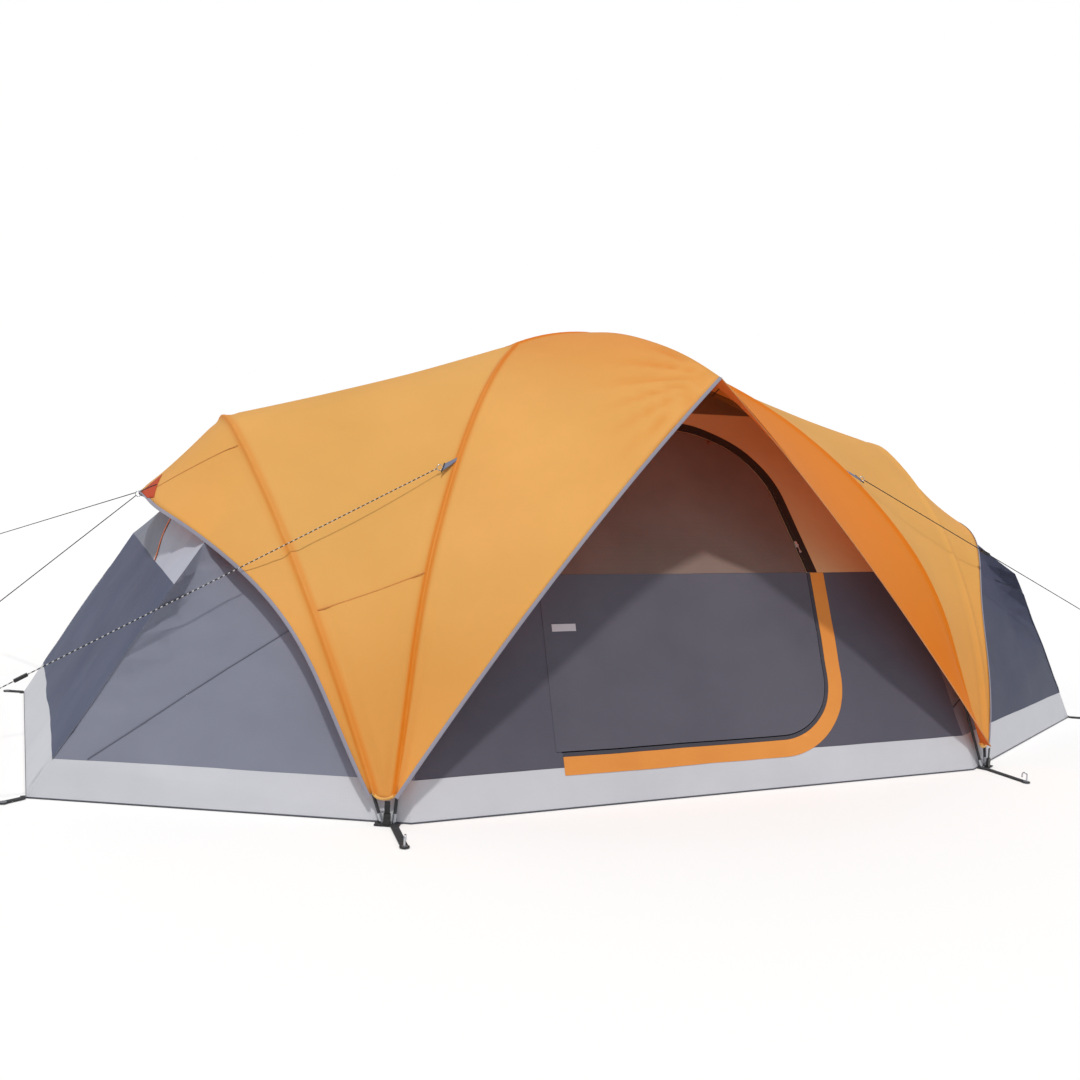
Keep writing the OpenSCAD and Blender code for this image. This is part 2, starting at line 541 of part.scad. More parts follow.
module steel_rings() color("#cfd2d6") four() {
  on_corner() {
    for (x = [leg_foot_along, end_foot_along]) translate([x, foot_out, 0]) ring(ring_out, ring_in, ring_t);
    translate([peg_at[0], peg_at[1], 0]) ring(eyelet_d/2 + 4, eyelet_d/2, ring_t);
  }
}
module ring(ro, ri, h) difference() {
  cylinder(h = h, r = ro);
  translate([0, 0, -1]) cylinder(h = h + 2, r = ri);
}
end_peg = [corner_e[0] + 66, corner_e[1] + 34];
module end_corner_tabs() color("#26272b") four() difference() {
  union() {
    translate([corner_e[0] + fit, corner_e[1] - 18, 0]) cube([16, 30, web_t]);
    bar_flat([corner_e[0] + 8, corner_e[1] + 4], end_peg, web_w, web_t);
    translate([end_peg[0], end_peg[1], 0]) cylinder(h = web_t, r = eyelet_d/2 + 10);
  }
  translate([end_peg[0], end_peg[1], -1]) cylinder(h = 5, r = eyelet_d/2 + 4.1);
}
module end_eyelets() color("#cfd2d6") four()
  translate([end_peg[0], end_peg[1], 0]) ring(eyelet_d/2 + 4, eyelet_d/2, eyelet_t);
module pegs() color("#b5b8bd") four() on_corner()
  translate([peg_at[0], peg_at[1] + eyelet_d/2 - peg_d/2 - fit, 0]) {
    cylinder(h = 26, r = peg_d/2);
    translate([0, -9, 26]) rotate([90, 0, 90]) rotate_extrude(angle = 180, $fn = 60)
      translate([9, 0]) circle(r = peg_d/2);
    translate([0, -18, 16]) cylinder(h = 10, r = peg_d/2);
  }

/* ---- rain fly: six panels that share their edges ---- */
n_fly = 16;
leg_tip = path_len(leg) - tip_z/leg_k;
end_tip = path_len(arch) - tip_z/end_k;
hub_top = [hub_half, 0, hub_z + fly_off + 6];
function leg_line(sx, sy, f) = f == 0 ? [sx*hub_top[0], 0, hub_top[2]] : leg3(sx, sy, f*leg_tip, fly_off);
function end_line(sx, sy, f) = end3(sx, sy, f*end_tip, fly_off);
function strut_line(x) = [x, 0, strut_z - strut_r + sqrt(strut_r*strut_r - x*x) + fly_off
  + (pole_d + fit)*(1 - abs(x)/hub_half) + 6*abs(x)/hub_half];
front_tip = leg_line(1, 1, 1) + [14, 48, -6];
function front_edge(sx, sy, f) = lerp([0, sy*awning_y, peak_z], [sx*front_tip[0], sy*front_tip[1], front_tip[2]], f)
  + [0, 0, edge_bow*4*f*(1 - f)];
hood_d = [hood_x, 0, hood_z] - end_line(1, 1, 0);
function end_edge(sx, sy, f) = let (k = exp(-pow(f/0.55, 4)), kz = exp(-pow(f/0.35, 2)))
  end_line(sx, sy, f) + [sx*(k*hood_d[0] + (1 - k)*62*(1 - 0.8*pow(f, 6))), -sy*(1 - k)*26*(1 - f),
    kz*hood_d[2] - (1 - kz)*20];
i_front = [for (i = [-n_fly - 2:n_fly + 2]) i];
function front_in(i, sy) = abs(i) > 1 ? leg_line(sign(i), sy, (abs(i) - 2)/n_fly) : strut_line(i*hub_half/2);
function front_out(i, sy) = front_edge(sign(i), sy, abs(i)/(n_fly + 2));
awn_chord = norm([awning_y, peak_z - strut_line(0)[2]]);
awn_bulge = awn_chord*awn_chord/8/awning_bend_r;
function front_pt(i, v, sy) = lerp(front_in(i, sy), front_out(i, sy), v)
  + [0, 0, awn_bulge*4*v*(1 - v)*exp(-i*i/12)];
module fly_awning(sy) {
  g = [for (i = i_front) [for (j = [0:8]) front_pt(i, j/8, sy)]];
  sheet(g, dirs_out(g), fly_t);
}
module fly_front() color("#e8ad61") fly_awning(-1);
module fly_back() color("#e8ad61") fly_awning(1);
i_side = [for (i = [-n_fly:n_fly]) i];
function roof_pt(a, b, v) = lerp(a, b, v) + (v == 0 ? fit/2*unit(b - a) : [0, 0, 0]);
module fly_roof(s) mirror([s < 0 ? 1 : 0, 0, 0]) {
  g = [for (i = i_side) [for (j = [0:6])
    roof_pt(i == 0 ? [hub_top[0], 0, hub_top[2]] : leg_line(1, sign(i), abs(i)/n_fly),
            end_line(1, i < 0 ? -1 : 1, abs(i)/n_fly), j/6)]];
  sheet(g, dirs_out(g), fly_t);
}
module fly_roof_left() color("#e0a559") fly_roof(-1);
module fly_roof_right() color("#e0a559") fly_roof(1);
module fly_end(s) mirror([s < 0 ? 1 : 0, 0, 0]) {
  g = [for (i = i_side) [for (j = [0:3])
    lerp(end_line(1, i < 0 ? -1 : 1, abs(i)/n_fly), end_edge(1, i < 0 ? -1 : 1, abs(i)/n_fly), j/3)]];
  sheet(g, dirs_out(g), fly_t);
}
module fly_end_left() color("#e8ad61") fly_end(-1);
module fly_end_right() color("#e8ad61") fly_end(1);
// Tape along the fly's free edges, lying on the outer face.
function tape_row(e, q, more = 0) =
  [e + binding_w*unit(q - e) + (fly_t + 1.6 + more)*outward(e), e + (fly_t + fit)*outward(e)];
module fly_binding() color("#96918f") {
  for (sy = [-1, 1]) tape([for (i = i_front)
    tape_row(front_out(i, sy), front_pt(i, 7/8, sy), 5*pow(abs(i)/(n_fly + 2), 6))]);
  for (sx = [-1, 1]) tape([for (i = i_side) let (y = i < 0 ? -1 : 1, f = abs(i)/n_fly)
    tape_row(end_edge(sx, y, f), end_line(sx, y, f))]);
}
module tape(g) sheet(g, dirs_out(g), 1.2);
// Pocket tape holding the awning pole under the fly.
pocket_lip = 2;
module awning_pockets() color("#b9854a") for (s = [-1, 1], f = [0.3, 0.62, 0.9])
  translate([0, 0, awn_z - awning_bend_r]) rotate([90, 0, 90])
    rotate([0, 0, 90 + s*f*awn_half - 0.5]) rotate_extrude(angle = 1, $fn = 60)
      translate([awning_bend_r, 0]) difference() {
        union() {
          circle(r = pole_r + 2.6);
          translate([0, -pocket_lip/2]) square([fly_off - 3.4, pocket_lip]);
        }
        circle(r = pole_r + 0.3);
      }

/* ---- guy-out points and lines ---- */
tab_d = 0.46*leg_tip;
function tab_base(sx, sy, k) = leg3(sx, sy, tab_d + k*tab_s*0.7, fly_off + fly_t + 0.4);
function tab_point(sx, sy) = leg3(sx, sy, tab_d, fly_off) + [sx*tab_s*1.1, -sy*-0.35*tab_s, -0.55*tab_s];
module guy_tabs() color("#777a8e") for (sx = [-1, 1], sy = [-1, 1])
  tri([tab_base(sx, sy, -0.5), tab_base(sx, sy, 0.5), tab_point(sx, sy)], 1.6);
module tri(p, t) let (n = unit(cross(p[1] - p[0], p[2] - p[0])))
  polyhedron([for (k = [-0.5, 0.5], q = p) q + k*t*n],
    [[0, 1, 2], [3, 5, 4], [0, 3, 1], [1, 3, 4], [1, 4, 2], [2, 4, 5], [2, 5, 0], [0, 5, 3]]);
function eye_at(sx, sy) = tab_point(sx, sy) + [sx*(ring_d/2 + 0.6), 0, 0];
peak_end = [hood_x + ring_d/2 + 0.4, 0, hood_z - 6];
module guy_rings() color("#b9bcc2") {
  for (sx = [-1, 1]) {
    for (sy = [-1, 1]) translate(eye_at(sx, sy)) rotate([90, 0, 0]) loop(ring_d/2, wire);
    translate([sx*peak_end[0], 0, peak_end[2]]) rotate([90, 0, 0]) loop(ring_d/2, wire);
  }
}
module loop(r, t) rotate_extrude($fn = 48) translate([r - t, 0]) circle(r = t, $fn = 16);
// Far ends of the lines that leave the view.
line_r = line_d/2;
far_a = [-2456, 1445, 600];
far_b = [-2421, -110, 500];
far_c = [-2404, -809, 357];
far_d = [2263, -870, 500];
wire = 1.6;
ring_m = ring_d/2 - wire;
// Start of a line on its ring c, at angle g on the ring, square to the line's direction.
function start(c, sx, g, far) = let (p = c + ring_m*[sx*cos(g), 0, sin(g)], v = unit(far - p),
  k = abs(v*[-sx*sin(g), 0, cos(g)])) p + v*(wire + 0.1 + line_r*k)/sqrt(1 - k*k);
near_a = start([-peak_end[0], 0, peak_end[2]], -1, 25, far_a);
near_b = start([-peak_end[0], 0, peak_end[2]], -1, -40, far_b);
near_c = start(eye_at(-1, -1), -1, -20, far_c);
near_d = start(eye_at(1, -1), 1, -20, far_d);
ten_c = lerp(near_c, far_c, 0.93);
ten_d = lerp(near_d, far_d, 0.5);
module guy_line_peak_back() color("#2a2a2e") rod(near_a, far_a, line_r, 16);
module guy_line_peak_side() color("#2a2a2e") rod(near_b, far_b, line_r, 16);
module guy_line_left() color("#2a2a2e") rod(near_c, far_c, line_r, 16);
module guy_line_right() color("#2a2a2e") rod(near_d, far_d, line_r, 16);
module tensioner(c, v) {
  translate(c) rotate([0, acos(v[2]/norm(v)), atan2(v[1], v[0])]) difference() {
    translate([-5, -8, -tensioner_l/2]) cube([10, 16, tensioner_l]);
    translate([0, 0, -tensioner_l]) cylinder(h = 2*tensioner_l, r = line_r + fit, $fn = 24);
  }
}
module tensioner_left() color("#1c1c1f") tensioner(ten_c, far_c - near_c);
module tensioner_right() color("#1c1c1f") tensioner(ten_d, far_d - near_d);
module guy_end_loops() color("#2a2a2e")
  for (e = [[far_a, near_a], [far_b, near_b], [far_c, near_c], [far_d, near_d]])
  let (v = unit(e[0] - e[1])) translate(e[0] + (line_r*3.2 + 0.1)*v) rotate([0, 0, atan2(v[1], v[0])])
    rotate([90, 0, 0]) loop(line_r*3.2, line_r*0.9);

/* ---- fly corner buckles on the corner tabs ---- */
buckle_w = 22;
buckle_at = tab_mid;
sock_h = 24;
strap_top = tip_z - 18;
module on_buckle() on_corner() translate([buckle_at, foot_out + 17, web_t + fit]) children();
module sock() difference() {
  translate([-buckle_w/2, -5.5, 0]) cube([buckle_w, 11, sock_h]);
  translate([-buckle_w/2 + 2, -3, 4]) cube([buckle_w - 4, 6, sock_h]);
}
module plug() {
  translate([-buckle_w/2, -4.5, sock_h + 0.4]) cube([buckle_w, 9, 12]);
  for (s = [-1, 1]) translate([s*(buckle_w/2 - 5) - 2, -2, 6]) cube([4, 4, sock_h - 5]);
}
module strap() translate([-9, -0.8, sock_h + 12.6]) cube([18, 1.6, strap_top - sock_h - 12.6]);
module at(sx, sy) mirror([sx < 0 ? 1 : 0, 0, 0]) mirror([0, sy < 0 ? 1 : 0, 0]) on_buckle() children();
module buckle_sockets() color("#1b1b1e") four() on_buckle() sock();
module buckle_plug_fl() color("#202024") at(-1, -1) plug();
module buckle_plug_fr() color("#202024") at(1, -1) plug();
module buckle_plug_bl() color("#202024") at(-1, 1) plug();
module buckle_plug_br() color("#202024") at(1, 1) plug();
module fly_strap_fl() color("#26272b") at(-1, -1) strap();
module fly_strap_fr() color("#26272b") at(1, -1) strap();
module fly_strap_bl() color("#26272b") at(-1, 1) strap();
module fly_strap_br() color("#26272b") at(1, 1) strap();

floor_sheet();
floor_band();
front_wall();
back_wall();
back_window();
roof_mesh();
side_roof_left();
side_roof_right();
corner_walls();
end_walls();
end_windows();
door_panel();
door_mesh();
door_tieback();
storm_flap();
zip_cover();
zip_tape();
zip_slider();
zip_pull();
leg_poles_front();
leg_poles_back();
ridge_strut();
ridge_connectors();
end_pole_left();
end_pole_right();
awning_pole();
pole_ferrules();
pole_tips();
pole_clips();
corner_tabs();
steel_rings();
end_corner_tabs();
end_eyelets();
pegs();
fly_front();
fly_back();
fly_roof_left();
fly_roof_right();
fly_end_left();
fly_end_right();
fly_binding();
awning_pockets();
guy_tabs();
guy_rings();
guy_line_peak_back();
guy_line_peak_side();
guy_line_left();
guy_line_right();
tensioner_left();
tensioner_right();
guy_end_loops();
buckle_sockets();
buckle_plug_fl();
buckle_plug_fr();
buckle_plug_bl();
buckle_plug_br();
fly_strap_fl();
fly_strap_fr();
fly_strap_bl();
fly_strap_br();
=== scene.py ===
import bpy, bmesh, math
from mathutils.bvhtree import BVHTree
import numpy as np
from mathutils import Matrix, Vector, noise


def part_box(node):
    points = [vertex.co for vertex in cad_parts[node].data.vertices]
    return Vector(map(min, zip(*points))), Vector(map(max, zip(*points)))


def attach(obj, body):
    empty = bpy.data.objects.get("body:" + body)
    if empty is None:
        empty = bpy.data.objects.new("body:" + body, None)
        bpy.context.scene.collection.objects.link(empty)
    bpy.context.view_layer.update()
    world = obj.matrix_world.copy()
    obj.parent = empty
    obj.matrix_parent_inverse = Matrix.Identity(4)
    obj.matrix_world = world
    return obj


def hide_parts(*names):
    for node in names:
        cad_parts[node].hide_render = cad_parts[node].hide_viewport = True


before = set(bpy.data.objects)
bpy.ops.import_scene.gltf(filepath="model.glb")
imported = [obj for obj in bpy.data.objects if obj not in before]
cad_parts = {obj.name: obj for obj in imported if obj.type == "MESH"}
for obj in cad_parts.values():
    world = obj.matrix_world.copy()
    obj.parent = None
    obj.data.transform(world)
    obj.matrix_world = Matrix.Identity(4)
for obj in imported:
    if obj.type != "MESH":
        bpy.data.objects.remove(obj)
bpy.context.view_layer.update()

# A camping tent on poles, in metres. The fly is built as grids of points between the lines of the poles, the inner
# cloth is remeshed from the frame's panels, and the rigid pieces keep their solids.

# ---------------------------------------------------------------- camera, fitted together with the tent's size
cam_at = Vector((-2.31, -4.869, 1.31))
yaw, pitch, roll = 0.413, -0.103, -0.047
fwd = Vector((math.sin(yaw)*math.cos(pitch), math.cos(yaw)*math.cos(pitch), math.sin(pitch)))
right = Vector((math.cos(yaw), -math.sin(yaw), 0.0))
down = fwd.cross(right)
c, s = math.cos(roll), math.sin(roll)
r2, d2 = c*right + s*down, -s*right + c*down
cd = bpy.data.cameras.new("camera")
cd.sensor_width, cd.lens = 36.0, 39.954
cd.clip_end = 100.0
cam = bpy.data.objects.new("camera", cd)
cam.matrix_world = Matrix(((r2.x, -d2.x, -fwd.x, cam_at.x), (r2.y, -d2.y, -fwd.y, cam_at.y),
                           (r2.z, -d2.z, -fwd.z, cam_at.z), (0, 0, 0, 1)))
bpy.context.scene.collection.objects.link(cam)
bpy.context.scene.camera = cam

# ---------------------------------------------------------------- materials
WAVE_PHASE = 20.0    # radians of a wave texture's phase in a metre, at scale 1

def lin(rgb):
    """An 8-bit sRGB colour as linear RGBA."""
    return tuple((v/255/12.92 if v/255 <= 0.04045 else ((v/255 + 0.055)/1.055)**2.4) for v in rgb) + (1.0,)

class Mat:
    """A material with a Principled shader, object coordinates and stacked bumps."""
    def __init__(self, name, rgb, rough=0.7, metal=0.0, spec=0.5):
        self.m = bpy.data.materials.new(name)
        self.m.use_nodes = True
        self.t = self.m.node_tree
        self.b = self.t.nodes["Principled BSDF"]
        self.b.inputs["Base Color"].default_value = lin(rgb)
        self.b.inputs["Roughness"].default_value = rough
        self.b.inputs["Metallic"].default_value = metal
        self.b.inputs["Specular IOR Level"].default_value = spec
        self.co = self.node("ShaderNodeTexCoord").outputs["Object"]
        self.h = None
    def node(self, kind, **kw):
        n = self.t.nodes.new(kind)
        for k, v in kw.items():
            setattr(n, k, v)
        return n
    def lnk(self, a, b):
        self.t.links.new(a, b)
    def noise(self, scale, detail=3.0, rough=0.55, stretch=None):
        n = self.node("ShaderNodeTexNoise")
        n.inputs["Scale"].default_value = scale
        n.inputs["Detail"].default_value = detail
        n.inputs["Roughness"].default_value = rough
        src = self.co
        if stretch:
            m = self.node("ShaderNodeMapping")
            m.inputs["Scale"].default_value = stretch
            self.lnk(self.co, m.inputs["Vector"])
            src = m.outputs["Vector"]
        self.lnk(src, n.inputs["Vector"])
        return n.outputs["Fac"]
    def vary(self, fac, rgb_a, rgb_b, lo=0.35, hi=0.65):
        """The base colour goes from one colour to the other with fac."""
        r = self.node("ShaderNodeValToRGB")
        r.color_ramp.elements[0].position, r.color_ramp.elements[1].position = lo, hi
        r.color_ramp.elements[0].color, r.color_ramp.elements[1].color = lin(rgb_a), lin(rgb_b)
        self.lnk(fac, r.inputs["Fac"])
        self.colour(r.outputs["Color"])
    def colour(self, out):
        self.lnk(out, self.b.inputs["Base Color"])
        self.col = out
    def height(self, fac, strength, dist):
        """A bump on top of those already there."""
        bp = self.node("ShaderNodeBump")
        bp.inputs["Strength"].default_value = strength
        bp.inputs["Distance"].default_value = dist
        self.lnk(fac, bp.inputs["Height"])
        if self.h:
            self.lnk(self.h, bp.inputs["Normal"])
        self.h = bp.outputs["Normal"]
        self.lnk(self.h, self.b.inputs["Normal"])
    def weave(self, thread_mm, strength):
        """Fine ribs along all three axes, 2 pi times thread_mm apart."""
        outs = []
        for ax in ("X", "Y", "Z"):
            w = self.node("ShaderNodeTexWave")
            w.bands_direction = ax
            w.inputs["Scale"].default_value = 1000.0/thread_mm/WAVE_PHASE
            w.inputs["Distortion"].default_value = 0.4
            w.inputs["Detail"].default_value = 1.0
            self.lnk(self.co, w.inputs["Vector"])
            outs.append(w.outputs["Fac"])
        a = self.node("ShaderNodeMath", operation="ADD")
        self.lnk(outs[0], a.inputs[0]); self.lnk(outs[1], a.inputs[1])
        b = self.node("ShaderNodeMath", operation="ADD")
        self.lnk(a.outputs[0], b.inputs[0]); self.lnk(outs[2], b.inputs[1])
        self.height(b.outputs[0], strength, 0.0003)
    def through(self, rgb, share):
        """A share of the light passes through the cloth."""
        tr = self.node("ShaderNodeBsdfTranslucent")
        tr.inputs["Color"].default_value = lin(rgb)
        mx = self.node("ShaderNodeMixShader")
        mx.inputs["Fac"].default_value = share
        out = self.t.nodes["Material Output"]
        self.lnk(self.b.outputs[0], mx.inputs[1]); self.lnk(tr.outputs[0], mx.inputs[2])
        self.lnk(mx.outputs[0], out.inputs["Surface"])

def around(rgb, var):
    """The colour made darker and lighter by var, within 8 bits."""
    return tuple(max(0, v - var) for v in rgb), tuple(min(255, v + var) for v in rgb)

MOTTLE = (2.2, 4.0)    # scale and detail of the slow changes in a cloth's colour
RIBS = 0.18            # strength of a cloth's weave

def cloth(name, rgb, rough=0.75, var=6, weave=0.9, fold=0.5, sheen=0.15, through=None, share=0.2):
    m = Mat(name, rgb, rough)
    m.vary(m.noise(*MOTTLE), *around(rgb, var))
    m.height(m.noise(7.0, 3.0, 0.5), fold, 0.004)
    m.weave(weave, RIBS)
    m.b.inputs["Sheen Weight"].default_value = sheen
    m.b.inputs["Sheen Roughness"].default_value = 0.4
    if through:
        m.through(through, share)
    return m.m

def hard(name, rgb, rough, metal, grain):
    m = Mat(name, rgb, rough, metal)
    m.vary(m.noise(60.0, 3.0), *around(rgb, 6))
    m.height(m.noise(900.0, 2.0), grain, 0.0002)
    return m.m

def fly_cloth(name, rgb, shade_rgb, share):
    """Fly cloth with painted shade: the shaded colour comes in where the painted-shade attribute is high, as over the
    poles.
    """
    m = Mat(name, rgb, 0.6)
    m.vary(m.noise(*MOTTLE), *around(rgb, 3))
    at = m.node("ShaderNodeAttribute")
    at.attribute_name = "painted_shade"
    mx = m.node("ShaderNodeMix")
    mx.data_type = "RGBA"
    m.lnk(at.outputs["Fac"], mx.inputs[0])
    m.lnk(m.col, mx.inputs[6])
    mx.inputs[7].default_value = lin(shade_rgb)
    m.colour(mx.outputs[2])
    m.height(m.noise(6.0, 3.0, 0.5), 0.45, 0.006)
    m.weave(0.9, RIBS)
    m.b.inputs["Sheen Weight"].default_value = 0.02
    m.b.inputs["Specular IOR Level"].default_value = 0.22
    m.through((255, 182, 112), share)
    return m.m

# The fly's second colour is painted shade: the deeper orange where the cloth lies in shade.
FLY = fly_cloth("fly_orange", (247, 193, 105), (239, 136, 20), 0.34)
# The fly's real underside, its colour drawn deeper and redder than the outside as painted shade.
FLY_UNDERSIDE_SHADED = cloth("fly_underside_painted_shade", (224, 124, 48), 0.75, 5, 0.9, 0.3, 0.03, (255, 186, 126), 0.5)
# Dark red of the hood's turned-out tip: its underside colour, darkened further as painted shade.
FLY_TIP_SHADED = cloth("fly_tip_painted_shade", (182, 62, 20), 0.8, 4, 0.9, 0.3, 0.0)
FLY_SEAM = cloth("fly_seam", (205, 132, 60), 0.65, 4, 0.9, 0.2)
FLY_HEM = cloth("fly_hem", (236, 176, 92), 0.65, 4, 0.9, 0.2)
WALL_LIGHT = cloth("wall_light", (122, 125, 141), 0.8, 4, 0.8, 0.5)
# Painted shade: a darker copy of the light wall cloth for the right corner walls.
WALL_SHADED_RIGHT = cloth("wall_painted_shade_right", (62, 66, 88), 0.8, 4, 0.8, 0.5)
WALL_BLUE = cloth("wall_blue", (42, 54, 88), 0.8, 4, 0.8, 0.5)
WALL_DARK = cloth("wall_dark", (80, 78, 91), 0.8, 4, 0.8, 0.5)
WALL_TAN = cloth("wall_tan", (220, 194, 146), 0.8, 4, 0.8, 0.5, 0.03)
# Seam cloth, also used for the painted shadow of the guy-line on the left corner walls.
WALL_SEAM_AND_SHADOW = cloth("wall_seam", (98, 100, 115), 0.8, 3, 0.8, 0.2)
DOOR = cloth("door_cloth", (82, 80, 92), 0.8, 4, 0.8, 0.5)
BAND = cloth("floor_band", (194, 195, 201), 0.5, 4, 1.4, 0.5, 0.05)
FLOOR = cloth("floor_sheet", (84, 86, 98), 0.6, 6, 1.6, 0.7, 0.05)
FLAP = cloth("storm_flap", (218, 138, 56), 0.7, 5, 0.9, 0.4)
PIPING = cloth("piping", (226, 116, 52), 0.6, 5, 0.9, 0.2)
WIN_LIGHT = cloth("window_flap", (172, 175, 188), 0.8, 4, 0.8, 0.4)
WIN_DARK = cloth("window_shade", (112, 116, 130), 0.8, 4, 0.8, 0.4)
TOGGLE = cloth("toggle", (196, 192, 198), 0.6, 4, 1.0, 0.2)
WEB = cloth("webbing", (30, 30, 33), 0.75, 4, 1.8, 0.2)
TAPE = cloth("zip_tape", (26, 24, 26), 0.7, 4, 1.2, 0.2)
TAPE_LOW = cloth("zip_tape_low", (60, 58, 67), 0.75, 4, 1.2, 0.2)
BINDING = cloth("binding", (142, 139, 152), 0.75, 5, 1.2, 0.2)
BINDING_IN = cloth("binding_turned", (196, 128, 74), 0.75, 5, 1.2, 0.2)
TAB = cloth("tab_cloth", (112, 116, 138), 0.75, 4, 1.0, 0.2)
POLE = hard("pole_fibreglass", (44, 45, 49), 0.32, 0.0, 0.1)
STEEL = hard("steel", (190, 192, 196), 0.28, 1.0, 0.2)
PLASTIC = hard("black_plastic", (24, 24, 27), 0.42, 0.0, 0.25)
ZIPM = hard("zip_metal", (214, 214, 218), 0.38, 0.55, 0.15)

def mesh_cloth(name, rgb, hole):
    """Fine net: hole is the share of the light that goes straight through."""
    m = Mat(name, rgb, 0.8)
    m.vary(m.noise(3.0, 3.0), *around(rgb, 5))
    m.weave(2.2, 0.35)
    tr = m.node("ShaderNodeBsdfTransparent")
    mx = m.node("ShaderNodeMixShader")
    mx.inputs["Fac"].default_value = hole
    m.lnk(m.b.outputs[0], mx.inputs[1]); m.lnk(tr.outputs[0], mx.inputs[2])
    m.lnk(mx.outputs[0], m.t.nodes["Material Output"].inputs["Surface"])
    return m.m

MESH = mesh_cloth("window_mesh", (140, 142, 152), 0.35)
MESH_DARK = mesh_cloth("door_mesh", (126, 108, 100), 0.1)

def cord_mat(name, dashed):
    """Dark braid. The dashed one has pale flecks 17 mm apart, the plain one a fine grain."""
    m = Mat(name, (36, 36, 40), 0.7)
    w = m.node("ShaderNodeTexWave")
    w.bands_direction = "X"
    w.inputs["Scale"].default_value = 19.0 if dashed else 60.0
    w.inputs["Distortion"].default_value = 0.0
    m.lnk(m.co, w.inputs["Vector"])
    m.vary(w.outputs["Fac"], (24, 24, 27), (190, 188, 186) if dashed else (58, 58, 62), 0.6, 0.7)
    m.height(m.noise(800.0, 2.0, 0.5, (1, 4, 4)), 0.4, 0.0004)
    return m.m

CORD_DASH = cord_mat("cord_flecked", True)
CORD = cord_mat("cord_plain", False)

# ---------------------------------------------------------------- geometry of the frame, metres
# The same lines as in the CAD: sx is the left (-1) or right (1) half, sy the front (-1) or back (1), and f runs from
# 0 at the top of a line to 1 at its foot.
pi = math.pi
FL, FH, FS, FE = 4.572, 1.330, 1.160, 0.753    # floor: length, half width, half its long side, half its end's width
HUB, HUBZ, RISE = 0.330, 1.595, 0.062          # hubs: distance from the middle, height, and the strut's rise
OFF, TIPZ = 0.016, 0.095                       # cloth's distance from a pole's line, height of the pole tips
corner = np.array([FS, FH]); corner_e = np.array([FL/2, FE])
ce_u = (corner_e - corner)/np.hypot(*(corner_e - corner)); ce_n = np.array([-ce_u[1], ce_u[0]])
FOOT_OUT = 0.012                               # the poles' feet: out from the floor's slanting corner, and along it
leg_foot = corner + 0.055*ce_u + FOOT_OUT*ce_n
end_foot = corner + 0.092*ce_u + FOOT_OUT*ce_n

class Path:
    """A pole in its own plane: an arc of radius r1 from slope a0 to a1 (degrees), one of radius r2 to a2, then a
    straight of length ln, all of which ends q out and h down from its start."""
    def __init__(self, h, q, r1, a0, a1, a2):
        a0, a1, a2 = np.radians([a0, a1, a2])
        det = 1 - math.cos(a2 - a1)
        b1 = q - r1*(math.sin(a1) - math.sin(a0)); b2 = h - r1*(math.cos(a0) - math.cos(a1))
        self.r2 = (b1*math.sin(a2) - b2*math.cos(a2))/det
        self.ln = ((math.sin(a2) - math.sin(a1))*b2 - (math.cos(a1) - math.cos(a2))*b1)/det
        self.c1 = np.array([-r1*math.sin(a0), h - r1*math.cos(a0)])
        self.c2 = self.c1 + (r1 - self.r2)*np.array([math.sin(a1), math.cos(a1)])
        self.e = self.c2 + self.r2*np.array([math.sin(a2), math.cos(a2)])
        self.r1, self.a0, self.a1, self.a2 = r1, a0, a1, a2
        self.l1, self.l2 = r1*(a1 - a0), self.r2*(a2 - a1)
        self.length = self.l1 + self.l2 + self.ln
    def pt(self, d, o=0.0):
        """The point d along the pole and o outside it."""
        if d < self.l1:
            t = self.a0 + d/self.r1
            return self.c1 + (self.r1 + o)*np.array([math.sin(t), math.cos(t)])
        if d < self.l1 + self.l2:
            t = self.a1 + (d - self.l1)/self.r2
            return self.c2 + (self.r2 + o)*np.array([math.sin(t), math.cos(t)])
        t = self.a2
        return self.e + (d - self.l1 - self.l2)*np.array([math.cos(t), -math.sin(t)]) \
            + o*np.array([math.sin(t), math.cos(t)])

run = leg_foot - np.array([HUB, 0]); az = math.atan2(run[1], run[0])
LEG = Path(HUBZ, np.hypot(*run), 2.280, 13.4, 48.5, 70.6)
CROWN_X, CROWN_Z = 1.561, 1.237                # top of an end hoop
tilt = math.atan2(CROWN_X - end_foot[0], CROWN_Z)
ARCH = Path(math.hypot(CROWN_X - end_foot[0], CROWN_Z), end_foot[1], 0.440, 0, 25.5, 67.6)
leg_tip = LEG.length - TIPZ/math.sin(LEG.a2)
end_tip = ARCH.length - TIPZ/(math.sin(ARCH.a2)*math.cos(tilt))

def leg3(sx, sy, d, o=0.0):
    p = LEG.pt(d, o)
    return np.array([sx*(HUB + p[0]*math.cos(az)), sy*p[0]*math.sin(az), p[1]])

def end3(sx, sy, d, o=0.0):
    p = ARCH.pt(d, o)
    return np.array([sx*(end_foot[0] + p[1]*math.sin(tilt)), sy*p[0], p[1]*math.cos(tilt)])

OVER_HUB, OVER_STRUT = 0.006, 0.0113           # the cloth is this much further from a hub, and from the strut
hub_top = np.array([HUB, 0, HUBZ + OFF + OVER_HUB])

def leg_line(sx, sy, f):
    """The cloth's line over a leg pole, drawn to the hub at its top."""
    q = leg3(sx, sy, f*leg_tip, OFF)
    w = max(0.0, 1 - f/0.02)
    return q*(1 - w) + np.array([sx*hub_top[0], 0, hub_top[2]])*w

def end_line(sx, sy, f):
    """The cloth's line over an end hoop."""
    return end3(sx, sy, f*end_tip, OFF)

half = 2*math.atan(RISE/HUB); RS = HUB/math.sin(half); SZ = HUBZ + RISE    # the strut's arc and its top

